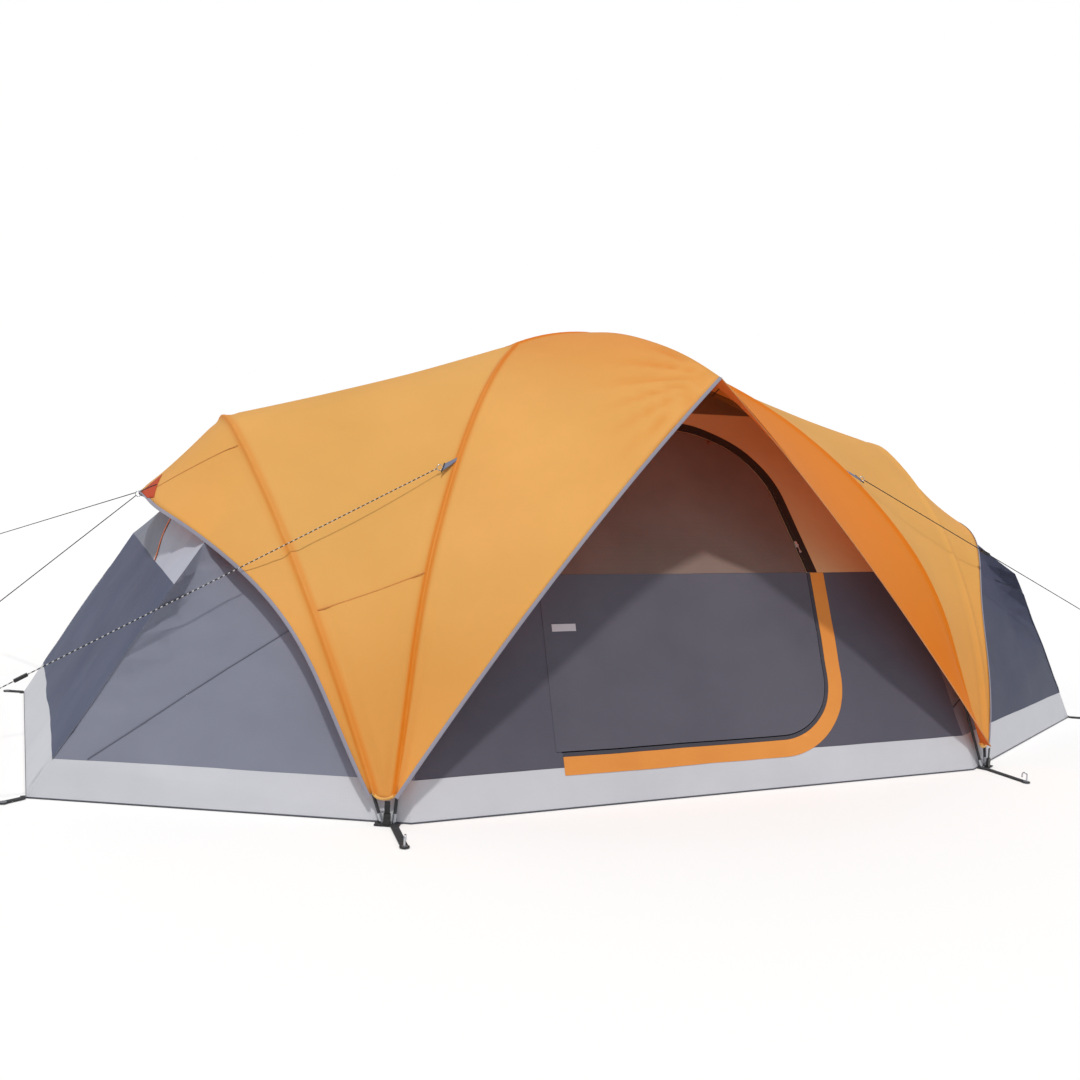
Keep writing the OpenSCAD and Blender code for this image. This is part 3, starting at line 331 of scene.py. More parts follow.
def strut_line(x):
    """The cloth's line over the ridge strut."""
    over = OVER_STRUT*(1 - abs(x)/HUB) + OVER_HUB*abs(x)/HUB
    return np.array([x, 0, SZ - RS + math.sqrt(RS*RS - x*x) + OFF + over])

AWR = 3.250; AWZ = SZ + OVER_STRUT; AY = 1.143    # awning pole: radius, height of its top, how far out its ends are
PEAKZ = AWZ - (AWR - math.sqrt(AWR*AWR - AY*AY)) + OFF
front_tip = leg_line(1, 1, 1.0) + np.array([0.014, 0.048, -0.006])
EDGE_RISE = 0.055                              # how far the awning's edge arches over the straight line

def front_edge(sx, sy, f):
    """The awning's free edge, from the peak down to the leg's tip."""
    a = np.array([0, sy*AY, PEAKZ]); b = np.array([sx*front_tip[0], sy*front_tip[1], front_tip[2]])
    return a + (b - a)*f + np.array([0, 0, EDGE_RISE*4*f*(1 - f)])

HOOD_X, HOOD_Z = 1.871, 0.944                  # tip of an end hood
hood = np.array([HOOD_X, 0, HOOD_Z]) - end_line(1, 1, 0)
STRIP_OUT, STRIP_IN, STRIP_DROP = 0.062, 0.026, 0.020

def end_edge(sx, sy, f):
    """The fly's free edge past an end hoop: a hood at the top, a narrow strip further down."""
    k, kz = math.exp(-(f/0.55)**4), math.exp(-(f/0.35)**2)
    return end_line(sx, sy, f) + np.array([sx*(k*hood[0] + (1 - k)*STRIP_OUT*(1 - 0.8*f**6)),
                                           -sy*(1 - k)*STRIP_IN*(1 - f), kz*hood[2] - (1 - kz)*STRIP_DROP])

chord = math.hypot(AY, PEAKZ - strut_line(0)[2]); bulge = chord*chord/8/AWR    # the awning pole's own arch
N = 16             # steps down a leg
SPAN = N + 2       # and with the two over half of the ridge

def front_in(u, sy):
    """u runs from -SPAN to SPAN along the inner edge: up one leg, over the ridge, down the other."""
    if abs(u) > 2:
        return leg_line(math.copysign(1, u), sy, (abs(u) - 2)/N)
    return strut_line(u*HUB/2)

def front_pt(u, v, sy):
    """A point of the front or back panel, v of the way from its poles to its free edge."""
    a, b = front_in(u, sy), front_edge(math.copysign(1, u), sy, abs(u)/SPAN)
    p = a + (b - a)*v
    p[2] += bulge*4*v*(1 - v)*math.exp(-u*u/12)
    return p

def outward(p):
    """Unit vector out of the tent at a point of its cloth."""
    v = np.array([0.45*p[0], p[1], p[2] - 0.25])
    return v/np.linalg.norm(v)

# ---------------------------------------------------------------- mesh builders
def link(o):
    bpy.context.scene.collection.objects.link(o)
    return o

def smooth(o):
    for p in o.data.polygons:
        p.use_smooth = True

def sharpen(me, degrees):
    """Hard edges where faces meet at more than this."""
    try:
        me.set_sharp_from_angle(angle=math.radians(degrees))
    except AttributeError:
        pass

def from_grids(name, grids, mats, merge=0.0004):
    """One mesh from several grids of points, welded along their shared edges. A point's fourth number is its painted
    shade.
    """
    me = bpy.data.meshes.new(name)
    bm = bmesh.new()
    painted_shade = bm.verts.layers.float.new("painted_shade")
    for g in grids:
        rows = []
        for r in g:
            row = []
            for p in r:
                v = bm.verts.new(p[:3])
                v[painted_shade] = p[3] if len(p) > 3 else 0.0
                row.append(v)
            rows.append(row)
        for i in range(len(rows) - 1):
            for j in range(len(rows[0]) - 1):
                bm.faces.new((rows[i][j], rows[i][j + 1], rows[i + 1][j + 1], rows[i + 1][j]))
    bmesh.ops.remove_doubles(bm, verts=bm.verts, dist=merge)
    bmesh.ops.dissolve_degenerate(bm, dist=0.0002, edges=bm.edges)
    bmesh.ops.recalc_face_normals(bm, faces=bm.faces)
    bm.to_mesh(me); bm.free()
    o = link(bpy.data.objects.new(name, me))
    for m in mats:
        me.materials.append(m)
    smooth(o)
    return o

def face_out(o):
    """Turns the faces so that they look away from the tent's middle."""
    me = o.data
    tot = sum(p.normal.dot(Vector(outward(np.array(p.center))))*p.area for p in me.polygons)
    if tot < 0:
        bm = bmesh.new(); bm.from_mesh(me)
        bmesh.ops.reverse_faces(bm, faces=bm.faces)
        bm.to_mesh(me); bm.free()

def thicken(o, t, inner=None, offset=1.0):
    """Gives a sheet its thickness; inner is the place of the inner face's material."""
    m = o.modifiers.new("thick", "SOLIDIFY")
    m.thickness, m.offset, m.use_even_offset = t, offset, False
    if inner is not None:
        m.material_offset = inner

def tube(name, pts, r, mat, closed=False):
    """A round rod through points, as a curve."""
    cu = bpy.data.curves.new(name, "CURVE")
    cu.dimensions, cu.bevel_depth, cu.bevel_resolution = "3D", r, 3
    cu.use_fill_caps = True
    sp = cu.splines.new("POLY")
    sp.points.add(len(pts) - 1)
    for p, q in zip(sp.points, pts):
        p.co = (*q, 1)
    sp.use_cyclic_u = closed
    cu.materials.append(mat)
    return link(bpy.data.objects.new(name, cu))

def ribbon(name, pts, across, width, mat):
    """A flat strip along pts; across is a unit vector."""
    q = np.array(across)
    o = from_grids(name, [[[p - q*width/2, p + q*width/2] for p in pts]], [mat])
    face_out(o)
    thicken(o, 0.0006)
    return o

def put(o, node, body="tent"):
    """Binds a piece to its body, and hides the node or nodes that it stands for."""
    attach(o, body)
    nodes = [node] if isinstance(node, str) else list(node or [])
    if nodes:
        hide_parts(*nodes)
    return o

# ---------------------------------------------------------------- guy-lines, first of the pieces
RING, WIRE, LR, TABS = 0.024, 0.0016, 0.002, 0.058    # ring's width, half its wire, half a line, a tab's length
ring_m = RING/2 - WIRE

def tab_point(sx, sy):
    return leg3(sx, sy, 0.46*leg_tip, OFF) + np.array([sx*TABS*1.1, sy*0.35*TABS, -0.55*TABS])

def eye_at(sx, sy):
    return tab_point(sx, sy) + np.array([sx*(RING/2 + 0.0006), 0, 0])

peak_x, peak_z = HOOD_X + RING/2 + 0.0004, HOOD_Z - 0.006

def start(cn, sx, g, far):
    """Where a line leaves its ring, g degrees round the ring from its outer side."""
    g = math.radians(g); cn, far = np.array(cn), np.array(far)
    p = cn + ring_m*np.array([sx*math.cos(g), 0, math.sin(g)])
    v = (far - p)/np.linalg.norm(far - p)
    k = abs(v.dot([-sx*math.sin(g), 0, math.cos(g)]))    # how far the line runs along the wire: it starts clear of it
    return p + v*(WIRE + 0.0001 + LR*k)/math.sqrt(1 - k*k)

lines = [("guy_line_peak_back", (-peak_x, 0, peak_z), -1, 25, (-2.456, 1.445, 0.600)),
         ("guy_line_peak_side", (-peak_x, 0, peak_z), -1, -40, (-2.421, -0.110, 0.500)),
         ("guy_line_left", eye_at(-1, -1), -1, -20, (-2.404, -0.809, 0.357)),
         ("guy_line_right", eye_at(1, -1), 1, -20, (2.263, -0.870, 0.500))]
up = np.array([0, 0, 1])
loops = []
for name, cn, sx, g, far in lines:
    a = start(cn, sx, g, far); b = np.array(far)
    v = (b - a)/np.linalg.norm(b - a)
    pts = [a + (b - a)*k/23 for k in range(24)]
    o = tube("cord_" + name, pts, LR*0.9, CORD_DASH if name == "guy_line_left" else CORD)
    put(o, name)
    loop_at = b + (LR*3.2 + 0.0001)*v
    side = np.array([v[0], v[1], 0]); side /= np.linalg.norm(side)
    turns = [2*pi*k/36 for k in range(36)]
    loop = tube("loop_" + name, [loop_at + LR*2.3*(side*math.cos(t) + up*math.sin(t)) for t in turns],
                LR*0.85, CORD, closed=True)
    loops.append(loop)
for loop in loops:
    put(loop, "guy_end_loops")

# ---------------------------------------------------------------- rain fly
FRONT_BULGE, ROOF_SAG, END_SAG = 0.004, 0.018, 0.008
FRONT_FOLD, ROOF_FOLD, END_FOLD = (3.1, 0.0035), (7.7, 0.0045), (5.2, 0.003)    # seed and height of the slow folds
FAN_HEIGHT, FAN_AT, FAN_WIDE, FAN_RIBS = 0.0062, 0.27, 0.20, 25                 # wrinkles around the front's peak
AWNING_HALF, AWNING_DEEP = 1.9, 1.1       # about the size of half a front panel
TONGUE, TONGUE_ROWS = 0.026, 5            # how far a roof corner reaches past the pole tips
SEAM_LIFT = 0.0018

def places(n):
    """Places across a panel, from 0 to 1, crowded near its pole edge."""
    base = [0, 0.004, 0.010, 0.018, 0.03, 0.05, 0.08]
    return base + [base[-1] + (1 - base[-1])*(k + 1)/n for k in range(n)]

def ramp(x, lo, hi):
    """Smooth step from 0 at lo to 1 at hi."""
    t = min(1.0, max(0.0, (x - lo)/(hi - lo)))
    return t*t*(3 - 2*t)

def fold(p, seed, amp):
    return amp*noise.noise(Vector((p[0]*2.1 + seed, p[1]*2.1, p[2]*2.1)))

def pole_shape(d):
    """Cloth over a pole: proud on top and drawn in beside it; d is the distance from the pole, metres."""
    return 0.005*math.exp(-(d/0.009)**2) - 0.004*math.exp(-((d - 0.036)/0.020)**2)

def foot_creases(d, z):
    """Folds that gather towards a foot, d metres from a pole and z up."""
    k = ramp(-z, -0.62, -0.12)
    return -0.004*k*math.exp(-((d - 0.020)/0.012)**2) + 0.003*k*math.exp(-((d - 0.050)/0.014)**2)

def roof_sag(f, v):
    """How far a roof panel's cloth stands out, f down and v across; below 0, as it hangs in."""
    return -ROOF_SAG*math.sin(pi*v)*min(1.0, (1 - f)*3 + 0.12)

def end_sag(v, w):
    """The same for an end panel, v across a width of w."""
    return -END_SAG*math.sin(pi*v)*min(1, w/0.2)

def peak_fan(u, v):
    """Wrinkles that gather towards the peak of a front panel."""
    dx, dy = (abs(u)/SPAN)*AWNING_HALF, (1 - v)*AWNING_DEEP
    ang, rad = math.atan2(dy, dx + 1e-6), math.hypot(dx, dy)
    fan = FAN_HEIGHT*math.exp(-((rad - FAN_AT)/FAN_WIDE)**2)*math.sin(ang*FAN_RIBS + 1.3*math.copysign(1, u))
    return fan*(min(1, rad/0.1)*ramp(v, 0.05, 0.3))

# Painted shade on the fly, from 0 to 1: a deeper orange over the poles, low down, on the front's right half, near the
# peak and in the hollows of its wrinkles, where the cloth lies in shade.
def painted_pole_shade(d, strength, z):
    wide = 0.007 + 0.005*ramp(z, 0.1, 0.8)
    return strength*math.exp(-((d - 0.006)/wide)**2)

def painted_low_shade(z):
    return 0.30*ramp(-z, -0.95, -0.15)

def with_painted_shade(p, t):
    return np.append(p, min(1.0, max(0.0, t)))

def fly_front_grid(sy):
    """The panel from the front legs and ridge to the awning's edge, or its like at the back."""
    g = []
    # Painted shade: the right half of the front panel is drawn a deeper orange.
    painted_right_shade = 0.8 if sy < 0 else 0.15
    for k in range(-SPAN*4, SPAN*4 + 1):
        u = k/4
        w = np.linalg.norm(front_pt(u, 1, sy) - front_pt(u, 0, sy))
        near_end = (SPAN - abs(u))/2 if abs(u) > N else 1
        row = []
        for v in places(26):
            p = front_pt(u, v, sy)
            d = v*w
            fan = peak_fan(u, v)
            bulge_out = FRONT_BULGE*math.sin(pi*v)**1.2*min(1.0, abs(u)/5)*near_end
            lift = bulge_out + fan + pole_shape(d) + foot_creases(d, p[2])
            lift += fold(p, FRONT_FOLD[0]*sy, FRONT_FOLD[1])*math.sin(pi*v)
            # Painted shade over the pole, low down, on the right half, near the top and in the hollows of the
            # wrinkles.
            painted_shade = painted_pole_shade(d, 0.7, p[2]) + painted_low_shade(p[2]) + painted_right_shade*ramp(p[0], -0.04, 0.22)
            painted_shade += 0.4*ramp(p[2], 1.36, 1.68) + 50*max(0, -fan)
            row.append(with_painted_shade(p + outward(p)*lift, painted_shade))
        g.append(row)
    return g

def tip_direction(sx, sy):
    """Unit vector along a leg at its tip."""
    t = leg_line(sx, sy, 1.0) - leg_line(sx, sy, 0.985)
    return t/np.linalg.norm(t)

def tongue_reach(v):
    """A roof corner's rounded reach past the pole tips, v across it."""
    return TONGUE*math.sqrt(max(0.0, 1 - (2*v - 1)**2))

def fly_roof_grid(sx):
    """The roof between the front leg, the back leg and the end hoop of one half."""
    g = []
    steps = places(20)
    across = sorted({round(x, 5) for x in steps} | {round(1 - x, 5) for x in steps[:6]})
    for k in range(-N*4 - TONGUE_ROWS, N*4 + 1 + TONGUE_ROWS):
        f = min(1.0, abs(k)/(N*4))
        past = max(0, abs(k) - N*4)/TONGUE_ROWS
        sy = -1 if k < 0 else 1
        a = leg_line(sx, sy, f) if k else np.array([sx*hub_top[0], 0, hub_top[2]])
        b = end_line(sx, sy, f)
        w = np.linalg.norm(b - a)
        row = []
        for v in across:
            p = a + (b - a)*v
            d0, d1, z = v*w, (1 - v)*w, p[2]
            lift = roof_sag(f, v) + pole_shape(d0) + pole_shape(d1) + fold(p, *ROOF_FOLD)*math.sin(pi*v)
            lift += foot_creases(d0, z) + foot_creases(d1, z)
            # Painted shade over the poles and low down.
            painted_shade = painted_pole_shade(d0, 0.8, z) + painted_low_shade(z) + (painted_pole_shade(d1, 0.4, z) if sx < 0 else 0.04)
            reach = math.sin(past*pi/2)*tongue_reach(v)
            row.append(with_painted_shade(p + outward(p)*lift + tip_direction(sx, sy)*reach, painted_shade))
        g.append(row)
    return g

def fly_end_grid(sx):
    """The strip past an end hoop, with the hood at its top."""
    g = []
    for k in range(-N*4, N*4 + 1):
        f = abs(k)/(N*4)
        sy = -1 if k < 0 else 1
        a, b = end_line(sx, sy, f), end_edge(sx, sy, f)
        w = np.linalg.norm(b - a)
        row = []
        for v in places(12):
            p = a + (b - a)*v
            lift = end_sag(v, w) + pole_shape(v*w) + fold(p, *END_FOLD)*math.sin(pi*v)
            # Painted shade low down and over the left hoop.
            painted_shade = painted_low_shade(p[2]) + 0.05 + (painted_pole_shade(v*w, 0.5, p[2]) if sx < 0 else 0)
            row.append(with_painted_shade(p + outward(p)*lift, painted_shade))
        g.append(row)
    return g

grids = [make(side) for make in (fly_front_grid, fly_roof_grid, fly_end_grid) for side in (-1, 1)]
fly = from_grids("rain_fly", grids, [FLY, FLY_UNDERSIDE_SHADED], merge=0.003)
face_out(fly)
thicken(fly, 0.0014, inner=1)
put(fly, ["fly_front", "fly_back", "fly_roof_left", "fly_roof_right", "fly_end_left", "fly_end_right"])

# ---------------------------------------------------------------- seams on the fly
def roof_pt(sx, sy, f, v):
    a, b = leg_line(sx, sy, f), end_line(sx, sy, f)
    p = a + (b - a)*v
    return p + outward(p)*(roof_sag(f, v) + fold(p, *ROOF_FOLD)*math.sin(pi*v) + SEAM_LIFT)

def hood_pt(sx, sy, f, v, lift=SEAM_LIFT):
    a, b = end_line(sx, sy, f), end_edge(sx, sy, f)
    p = a + (b - a)*v
    w = np.linalg.norm(b - a)
    return p + outward(p)*(end_sag(v, w) + fold(p, *END_FOLD)*math.sin(pi*v) + lift)

seams = []
for sx in (-1, 1):
    for sy in (-1, 1):
        if sx < 0:
            pts = [roof_pt(sx, sy, 0.68 - 0.028*k/20, k/20*0.94 + 0.03) for k in range(21)]
            seams.append(("roof_seam", pts, (0, 0, 1)))
        pts = [hood_pt(sx, sy, 0.17 - 0.11*k/12, 0.05 + 0.88*k/12) for k in range(13)]
        seams.append(("hood_seam", pts, (0, 1, 0)))
for i, (kind, pts, across) in enumerate(seams):
    put(ribbon("%s_%d" % (kind, i), pts, across, 0.006, FLY_SEAM), None)

# ---------------------------------------------------------------- edges of the fly
EDGE_LIFT = 0.0008

def edge_strip(name, pts, node_names, mat, width=0.013, thick=0.003):
    """A binding folded over an edge: an oval section carried along the edge."""
    g = []
    for k, p in enumerate(pts):
        t = pts[min(k + 1, len(pts) - 1)] - pts[max(k - 1, 0)]
        t /= np.linalg.norm(t)
        n = outward(p); n = n - t*n.dot(t); n /= np.linalg.norm(n)
        q = np.cross(n, t)
        g.append([p + q*width/2*math.cos(a) + n*thick/2*math.sin(a) for a in [2*pi*i/12 for i in range(13)]])
    put(from_grids(name, [g], [mat], merge=0.00005), node_names)

for sx in (-1, 1):
    for sy in (-1, 1):
        a, b = leg_line(sx, sy, 1.0), end_line(sx, sy, 1.0)
        pts = []
        for k in range(25):
            v = k/24
            p = a + (b - a)*v
            pts.append(p + outward(p)*roof_sag(1.0, v) + tip_direction(sx, sy)*tongue_reach(v))
        edge_strip("fly_hem_%d%d" % (sx, sy), pts, None, FLY_HEM, 0.010, 0.004)

def hood_patch(sx):
    """The turned-out tip of the hood, where the far half's inner face shows, in a dark red that is partly its
    underside colour and partly painted shade.
    """
    corners = [(0.0, 1.0), (0.0, 0.76), (0.115, 0.955), (0.09, 1.0)]    # down and across the end panel
    g = []
    for i in range(9):
        row = []
        for j in range(9):
            u, v = i/8, j/8
            f, w = ((1 - u)*((1 - v)*corners[0][x] + v*corners[1][x]) + u*((1 - v)*corners[3][x] + v*corners[2][x])
                    for x in (0, 1))
            row.append(hood_pt(sx, -1, f, w, 0.0026))
        g.append(row)
    o = from_grids("hood_tip_%d" % sx, [g], [FLY_TIP_SHADED])
    face_out(o)
    thicken(o, 0.0008)
    put(o, None)
    # A black strip along the tip's fold: painted shade in the crease, not a part.
    pts = [hood_pt(sx, -1, 0.057*k/8, 1 - 0.14*k/8, 0.0042) for k in range(9)]
    put(ribbon("hood_fold_painted_shade_%d" % sx, pts, (0, 0, 1), 0.005, TAPE), None)

hood_patch(-1)
hood_patch(1)

for sy in (-1, 1):
    pts = [front_pt(k/3, 1.0, sy) for k in range(-SPAN*3, SPAN*3 + 1)]
    pts = [p + outward(p)*EDGE_LIFT for p in pts]
    mid = len(pts)//2
    edge_strip("binding_awning_left_%d" % sy, pts[:mid + 1], "fly_binding" if sy < 0 else None, BINDING)
    edge_strip("binding_awning_right_%d" % sy, pts[mid:], None, BINDING_IN, 0.006)
for sx in (-1, 1):
    for sy in (-1, 1):
        pts = [end_edge(sx, sy, k/(N*3)) for k in range(N*3 + 1)]
        edge_strip("binding_end_%d%d" % (sx, sy), [p + outward(p)*EDGE_LIFT for p in pts], None, BINDING)

# ---------------------------------------------------------------- walls, floor, door
SEAM_Z = 0.751                   # height of the seam across the front and back walls: tan above, dark below
slider_at = np.mean([np.array(v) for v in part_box("zip_slider")], axis=0)
slider_run = np.array([0, 0.694658, 0.71934])    # the way it slides, and how far each way, with a little to spare
RUN_DOWN, RUN_UP = -0.10, 0.21
CALM, CALM_FADE, LOW_FADE = 0.05, 0.25, 0.09     # distances over which the waves are still, and come in

def wave(p, amp):
    """The waves of the inner cloth at a point: none at the ground or along the slider's run, more away from them."""
    q = Vector((p.x*1.5 + 3, p.y*1.5, p.z*2.1))
    k = noise.noise(q) + 0.6*noise.noise(q*2.7 + Vector((0, 9, 0))) + 0.25*noise.noise(q*6.1)
    q = np.array(p) - slider_at
    d = np.linalg.norm(q - slider_run*min(RUN_UP, max(RUN_DOWN, q.dot(slider_run))))
    return amp*k*min(1.0, max(0.0, p.z)/LOW_FADE)*min(1.0, max(0.0, d - CALM)/CALM_FADE)

WIN_LOW, WIN_TOP, BILLOW = 0.70, 0.95, 0.032    # end windows: foot, top, how far the cloth stands out between them

def billow(co):
    """How far the end windows' cloth stands out at a point."""
    h = min(1.0, max(0.0, (co.z - WIN_LOW)/(WIN_TOP - WIN_LOW)))
    side = math.cos(min(1.0, abs(co.y)/0.6)*pi/2)
    return math.copysign(BILLOW*math.sin(pi*h**1.3)*side, co.x)

# Nodes of two colours: the second material, and where it is.
SPLIT = {
    "front_wall": (WALL_TAN, lambda p: p.z > SEAM_Z),
    "back_wall": (WALL_TAN, lambda p: p.z > SEAM_Z),
    # The corner walls' right half is drawn darker as painted shade.
    "corner_walls": (WALL_SHADED_RIGHT, lambda p: p.x > 0),
    "end_windows": (WIN_DARK, lambda p: p.y > -0.17),
    "zip_tape": (TAPE_LOW, lambda p: p.z < SEAM_Z),
}

def cloth_copy(name, node, mat, slot_name, body, step, amp):
    """A node's panels as cloth: cut finer, every step metres, then waved."""
    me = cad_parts[node].data.copy(); me.name = name
    o = link(bpy.data.objects.new(name, me))
    me.materials.clear(); me.materials.append(mat)
    bm = bmesh.new(); bm.from_mesh(me)
    bmesh.ops.remove_doubles(bm, verts=bm.verts, dist=0.00002)
    bmesh.ops.dissolve_limit(bm, angle_limit=0.02, verts=bm.verts, edges=bm.edges)
    lo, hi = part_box(node)
    for k in range(3):
        n = max(1, int(round((hi[k] - lo[k])/step)))
        for i in range(1, n):
            co = [0, 0, 0]; no = [0, 0, 0]
            co[k] = lo[k] + (hi[k] - lo[k])*(i + 0.013)/n; no[k] = 1    # beside the panels' own edges
            bmesh.ops.bisect_plane(bm, geom=bm.verts[:] + bm.edges[:] + bm.faces[:], dist=1e-6,
                                   plane_co=co, plane_no=no)
    for v in bm.verts:
        v.co = v.co + Vector(outward(np.array(v.co)))*wave(v.co, amp)
        if node == "end_windows":
            v.co.x += billow(v.co)
    bmesh.ops.triangulate(bm, faces=[f for f in bm.faces if len(f.verts) > 4])
    bm.to_mesh(me); bm.free()
    me.validate()
    if node in SPLIT:
        other, test = SPLIT[node]
        me.materials.append(other)
    for p in me.polygons:
        p.material_index = int(node in SPLIT and test(p.center))
    smooth(o)
    sharpen(me, 35)
    return put(o, node, body)

def one_side(o):
    """Half the area of a sheet's two faces."""
    dg = bpy.context.evaluated_depsgraph_get()
    e = o.evaluated_get(dg); m = e.to_mesh()
    a = sum(p.area for p in m.polygons); e.to_mesh_clear()
    return a/2

def declare(o, w, l):
    """Works out the cut of a piece of cloth, w by l metres, or longer where its area needs it; nothing is done with
    the result.
    """
    a = one_side(o)
    w, l = (w, l) if a <= w*l else (w, a/w*1.002)

declare(fly, 3.2, 5.6)
# Name, node, material, slot, body, cutting step, height of the waves, and the flat width and length in metres.
SOFT = [
    ("floor", "floor_sheet", FLOOR, "floor", "tent", 0.09, 0.0, 2.66, 4.572),
    ("band", "floor_band", BAND, "band", "tent", 0.045, 0.008, 0.16, 12.8),
    ("wall_front", "front_wall", WALL_DARK, "wall_dark", "tent", 0.045, 0.008, 1.35, 2.3),
    ("wall_back", "back_wall", WALL_DARK, "wall_dark", "tent", 0.06, 0.008, 1.35, 2.3),
    ("window_back", "back_window", MESH, "mesh", "tent", 0.08, 0.006, 0.46, 0.84),
    ("roof_net", "roof_mesh", MESH, "mesh", "tent", 0.07, 0.008, 1.2, 1.3),
    ("ceiling_left", "side_roof_left", WALL_LIGHT, "wall_light", "tent", 0.055, 0.008, 2.2, 2.6),
    ("ceiling_right", "side_roof_right", WALL_LIGHT, "wall_light", "tent", 0.055, 0.008, 2.2, 2.6),
    ("walls_corner", "corner_walls", WALL_LIGHT, "wall_light", "tent", 0.04, 0.008, 1.4, 4.2),
    ("walls_end", "end_walls", WALL_BLUE, "wall_blue", "tent", 0.05, 0.008, 1.3, 2.2),
    ("windows_end", "end_windows", WIN_LIGHT, "mesh", "tent", 0.05, 0.008, 0.8, 2.2),
    ("door", "door_panel", DOOR, "wall_dark", "door", 0.03, 0.008, 0.62, 1.14),
    ("door_net", "door_mesh", MESH_DARK, "mesh", "door", 0.03, 0.008, 0.76, 1.14),
    ("flap", "storm_flap", FLAP, "flap", "tent", 0.03, 0.008, 0.07, 2.0),
    ("cover", "zip_cover", TAPE, "black_web", "tent", 0.03, 0.008, 0.035, 2.1),
    ("tape", "zip_tape", TAPE, "black_web", "tent", 0.03, 0.008, 0.014, 4.2),
    ("tieback", "door_tieback", TOGGLE, "binding", "door", 0.03, 0.008, 0.02, 0.1),
    ("pockets", "awning_pockets", FLAP, "flap", "tent", 0.02, 0.0, 0.04, 0.2),
    ("tabs_corner", "corner_tabs", WEB, "black_web", "tent", 0.012, 0.0, 0.025, 0.6),
    ("tabs_end", "end_corner_tabs", WEB, "black_web", "tent", 0.012, 0.0, 0.025, 0.6),
    ("strap_fl", "fly_strap_fl", WEB, "black_web", "buckle_fl", 0.02, 0.0, 0.02, 0.1),
    ("strap_fr", "fly_strap_fr", WEB, "black_web", "buckle_fr", 0.02, 0.0, 0.02, 0.1),
    ("strap_bl", "fly_strap_bl", WEB, "black_web", "buckle_bl", 0.02, 0.0, 0.02, 0.1),
    ("strap_br", "fly_strap_br", WEB, "black_web", "buckle_br", 0.02, 0.0, 0.02, 0.1),
]
made = {}
for name, *how, w, l in SOFT:
    o = made[name] = cloth_copy(name, *how)
    declare(o, w, l)

# ---------------------------------------------------------------- guy-line tabs with their black bars
TAB_NARROW, TAB_GAIN = 0.009, 0.012    # a tab's half width at the pole, and what it gains by its bar
BAR_HALF, BAR_R = 0.025, 0.0024
grids = []
for sx in (-1, 1):
    for sy in (-1, 1):
        at = {tuple(round(x, 5) for x in v.co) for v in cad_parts["guy_tabs"].data.vertices
              if v.co.x*sx > 0 and v.co.y*sy > 0}
        at = sorted((np.array(p) for p in at), key=lambda p: -abs(p[0]))
        tip, rest = (at[0] + at[1])/2, at[2:]    # the CAD tab's outermost edge, and its others at the pole
        mid = sum(rest)/len(rest)
        along = max((p - q for p in rest for q in rest), key=np.linalg.norm)
        along /= np.linalg.norm(along)
        grids.append([[mid + (tip - mid)*k/6 + along*h*(TAB_NARROW + TAB_GAIN*k/6) for h in (-1, -0.5, 0, 0.5, 1)]
                      for k in range(7)])
        bar_pts = [tip - along*BAR_HALF, tip, tip + along*BAR_HALF]
        put(tube("tab_bar_%d%d" % (sx, sy), bar_pts, BAR_R, PLASTIC), None)
tabs = from_grids("tabs_guy", grids, [TAB])
thicken(tabs, 0.0016, offset=0.0)
put(tabs, "guy_tabs")
declare(tabs, 0.06, 0.3)

# ---------------------------------------------------------------- seams, piping and a painted guy-line shadow on the walls
def arch_in(sx, f, sy):
    """The inner tent's line under an end hoop."""
    return end3(sx, sy, f*ARCH.length, -0.034)

BAND_H = 0.125
win_foot = np.array([1.836, 0.79, 0.7])
band_top = np.array([FL/2 - BAND_H*math.tan(math.radians(32.7)), 0.757, BAND_H])
band_long = np.array([1.184, 1.279, BAND_H])    # the band's top at the corner of its long side

def tree_of(names):
    """A search tree of these pieces' faces."""
    bm = bmesh.new()
    for n in names:
        bm.from_mesh(made[n].data)
    t = BVHTree.FromBMesh(bm)
    bm.free()
    return t

WALLS = tree_of(["walls_corner", "walls_end", "windows_end", "band"])

def on_wall(p, lift):
    """The point brought on to the outer face of the walls."""
    n = outward(p)
    hit = WALLS.ray_cast(Vector(p + n*0.08), Vector(-n), 0.2)
    return (np.array(hit[0]) if hit[0] is not None else p) + n*lift

def wall_strip(name, pts, across, width, mat):
    pts = [on_wall(p, 0.0014) for p in pts]
    return put(ribbon(name, pts, across, width, mat), None)

WIN_F = [0, 0.058, 0.116, 0.174, 0.24]    # a window's top along the hoop, at quarters of its width from the middle
PIPING_END = 0.92                         # how far up the window its piping goes
for sx in (-1, 1):
    pts = []
    for k in range(15):
        v = k/14*PIPING_END
        u = -0.25 + 0.17*v/PIPING_END
        top = arch_in(sx, np.interp(abs(u)*4, range(5), WIN_F), -1)
        low = np.array([sx*win_foot[0], win_foot[1]*u, win_foot[2]])
        pts.append(low + (top - low)*v)
    wall_strip("window_piping_%d" % sx, pts, (0, 1, 0), 0.027, PIPING)
    for sy in (-1, 1):
        half_out = np.array([sx, sy, 1])
        fold_at, low = win_foot*half_out, band_top*half_out
        # On the left only: a thin dark strip down the corner wall, a painted shadow of the guy-line, not a seam.
        if sx < 0:
            mid = fold_at + (low - fold_at)*0.5
            top = mid + (arch_in(sx, 0.62, sy) - mid)*0.92
            end = low*0.9 + 0.1*band_long*half_out + np.array([0, 0, 0.004])
            wall_strip("wall_seam_%d" % sy, [top + (end - top)*k/24 for k in range(25)], (0, 0, 1),
                       0.005, WALL_SEAM_AND_SHADOW)
        wall_strip("corner_seam_%d%d" % (sx, sy), [fold_at + (low - fold_at)*k/24 for k in range(25)],
                   (0, 1, 0), 0.006, WALL_SEAM_AND_SHADOW)

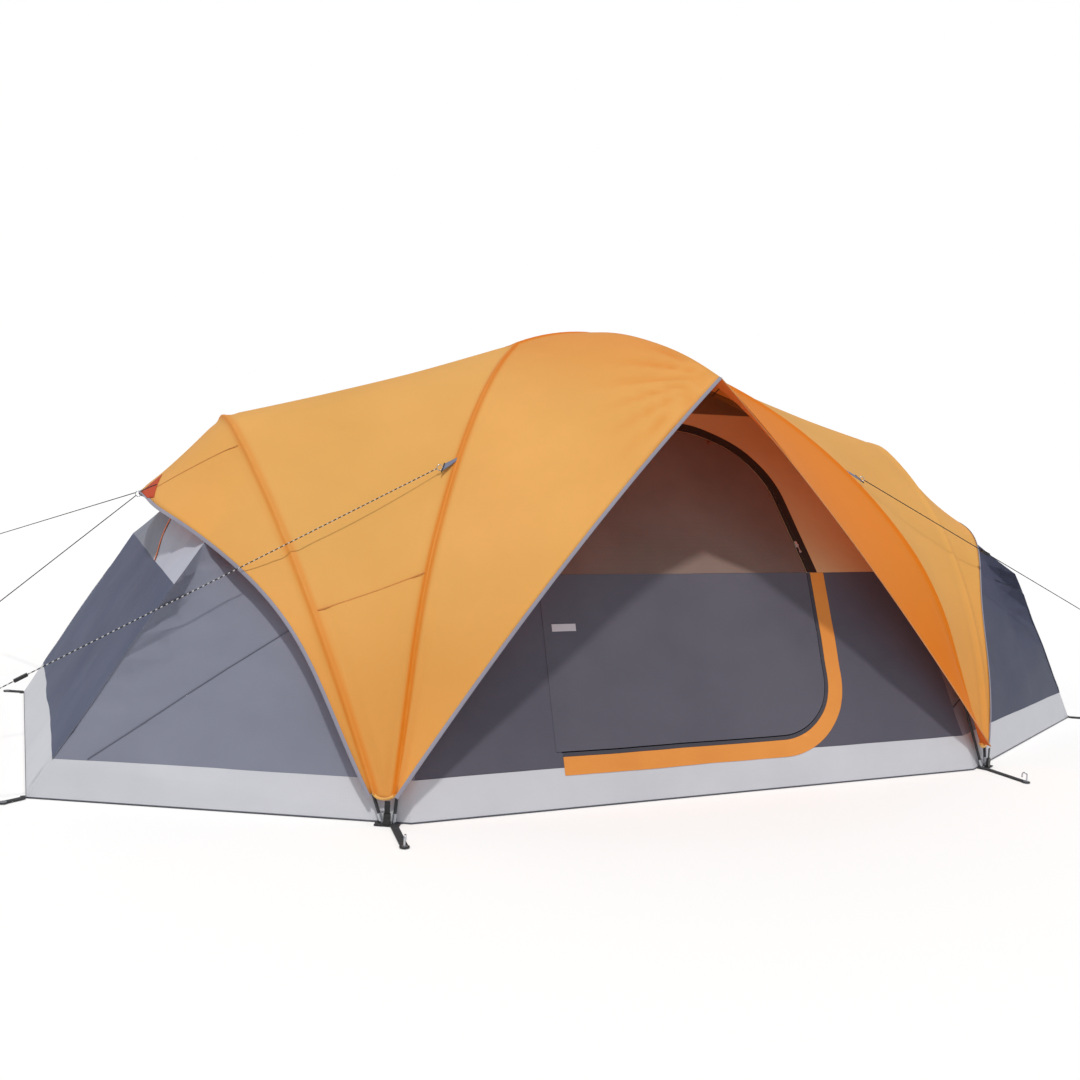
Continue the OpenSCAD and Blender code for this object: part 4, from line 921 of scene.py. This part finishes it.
# ---------------------------------------------------------------- rigid pieces keep their solids
RIGID = {POLE: "leg_poles_front leg_poles_back ridge_strut end_pole_left end_pole_right awning_pole",
         STEEL: "pole_ferrules pole_tips steel_rings pegs guy_rings end_eyelets",
         ZIPM: "zip_slider zip_pull",
         PLASTIC: "ridge_connectors pole_clips tensioner_left tensioner_right buckle_sockets "
                  "buckle_plug_fl buckle_plug_fr buckle_plug_bl buckle_plug_br"}
for mat, names in RIGID.items():
    for n in names.split():
        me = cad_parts[n].data
        me.materials.clear(); me.materials.append(mat)
        for p in me.polygons:
            p.material_index = 0
            p.use_smooth = True
        sharpen(me, 30)

# ---------------------------------------------------------------- ground, sky, lamps
gm = bpy.data.materials.new("ground"); gm.use_nodes = True
gt = gm.node_tree; gb = gt.nodes["Principled BSDF"]
gb.inputs["Base Color"].default_value = (0.92, 0.92, 0.92, 1)
gb.inputs["Roughness"].default_value = 1.0
gb.inputs["Specular IOR Level"].default_value = 0.0
pl = bpy.data.meshes.new("ground")
R = 40.0    # half the ground's width
pl.from_pydata([(-R, -R, 0), (R, -R, 0), (R, R, 0), (-R, R, 0)], [], [(0, 1, 2, 3)])
pl.materials.append(gm)
ground = link(bpy.data.objects.new("ground", pl))
ground.location.z = -0.003    # just under the tent's flat underside

# The sky lights the tent at little more than half strength and shows as white to the camera.
world = bpy.data.worlds.new("sky"); bpy.context.scene.world = world; world.use_nodes = True
wt = world.node_tree
bg = wt.nodes["Background"]
bg.inputs["Color"].default_value = (0.92, 0.95, 1.0, 1); bg.inputs["Strength"].default_value = 0.55
white = wt.nodes.new("ShaderNodeBackground")
white.inputs["Color"].default_value = (1, 1, 1, 1); white.inputs["Strength"].default_value = 1.0
path = wt.nodes.new("ShaderNodeLightPath"); mix = wt.nodes.new("ShaderNodeMixShader")
wt.links.new(path.outputs["Is Camera Ray"], mix.inputs["Fac"])
wt.links.new(bg.outputs[0], mix.inputs[1]); wt.links.new(white.outputs[0], mix.inputs[2])
wt.links.new(mix.outputs[0], wt.nodes["World Output"].inputs["Surface"])

sun = bpy.data.lights.new("sun", "SUN"); sun.energy = 2.0; sun.angle = 0.06; sun.color = (1.0, 0.97, 0.92)
sun_at = link(bpy.data.objects.new("sun", sun))
sun_at.rotation_mode = "QUATERNION"
sun_at.rotation_quaternion = Vector((0.13, 0.27, -0.955)).to_track_quat("-Z", "Y")    # the way it shines

sc = bpy.context.scene
sc.render.engine = "CYCLES"
sc.cycles.samples = 64
sc.view_settings.view_transform = "Standard"
sc.view_settings.look = "None"
sc.view_settings.exposure = 0.0
sc.view_settings.gamma = 1.0
sc.render.resolution_x = 1080; sc.render.resolution_y = 1080
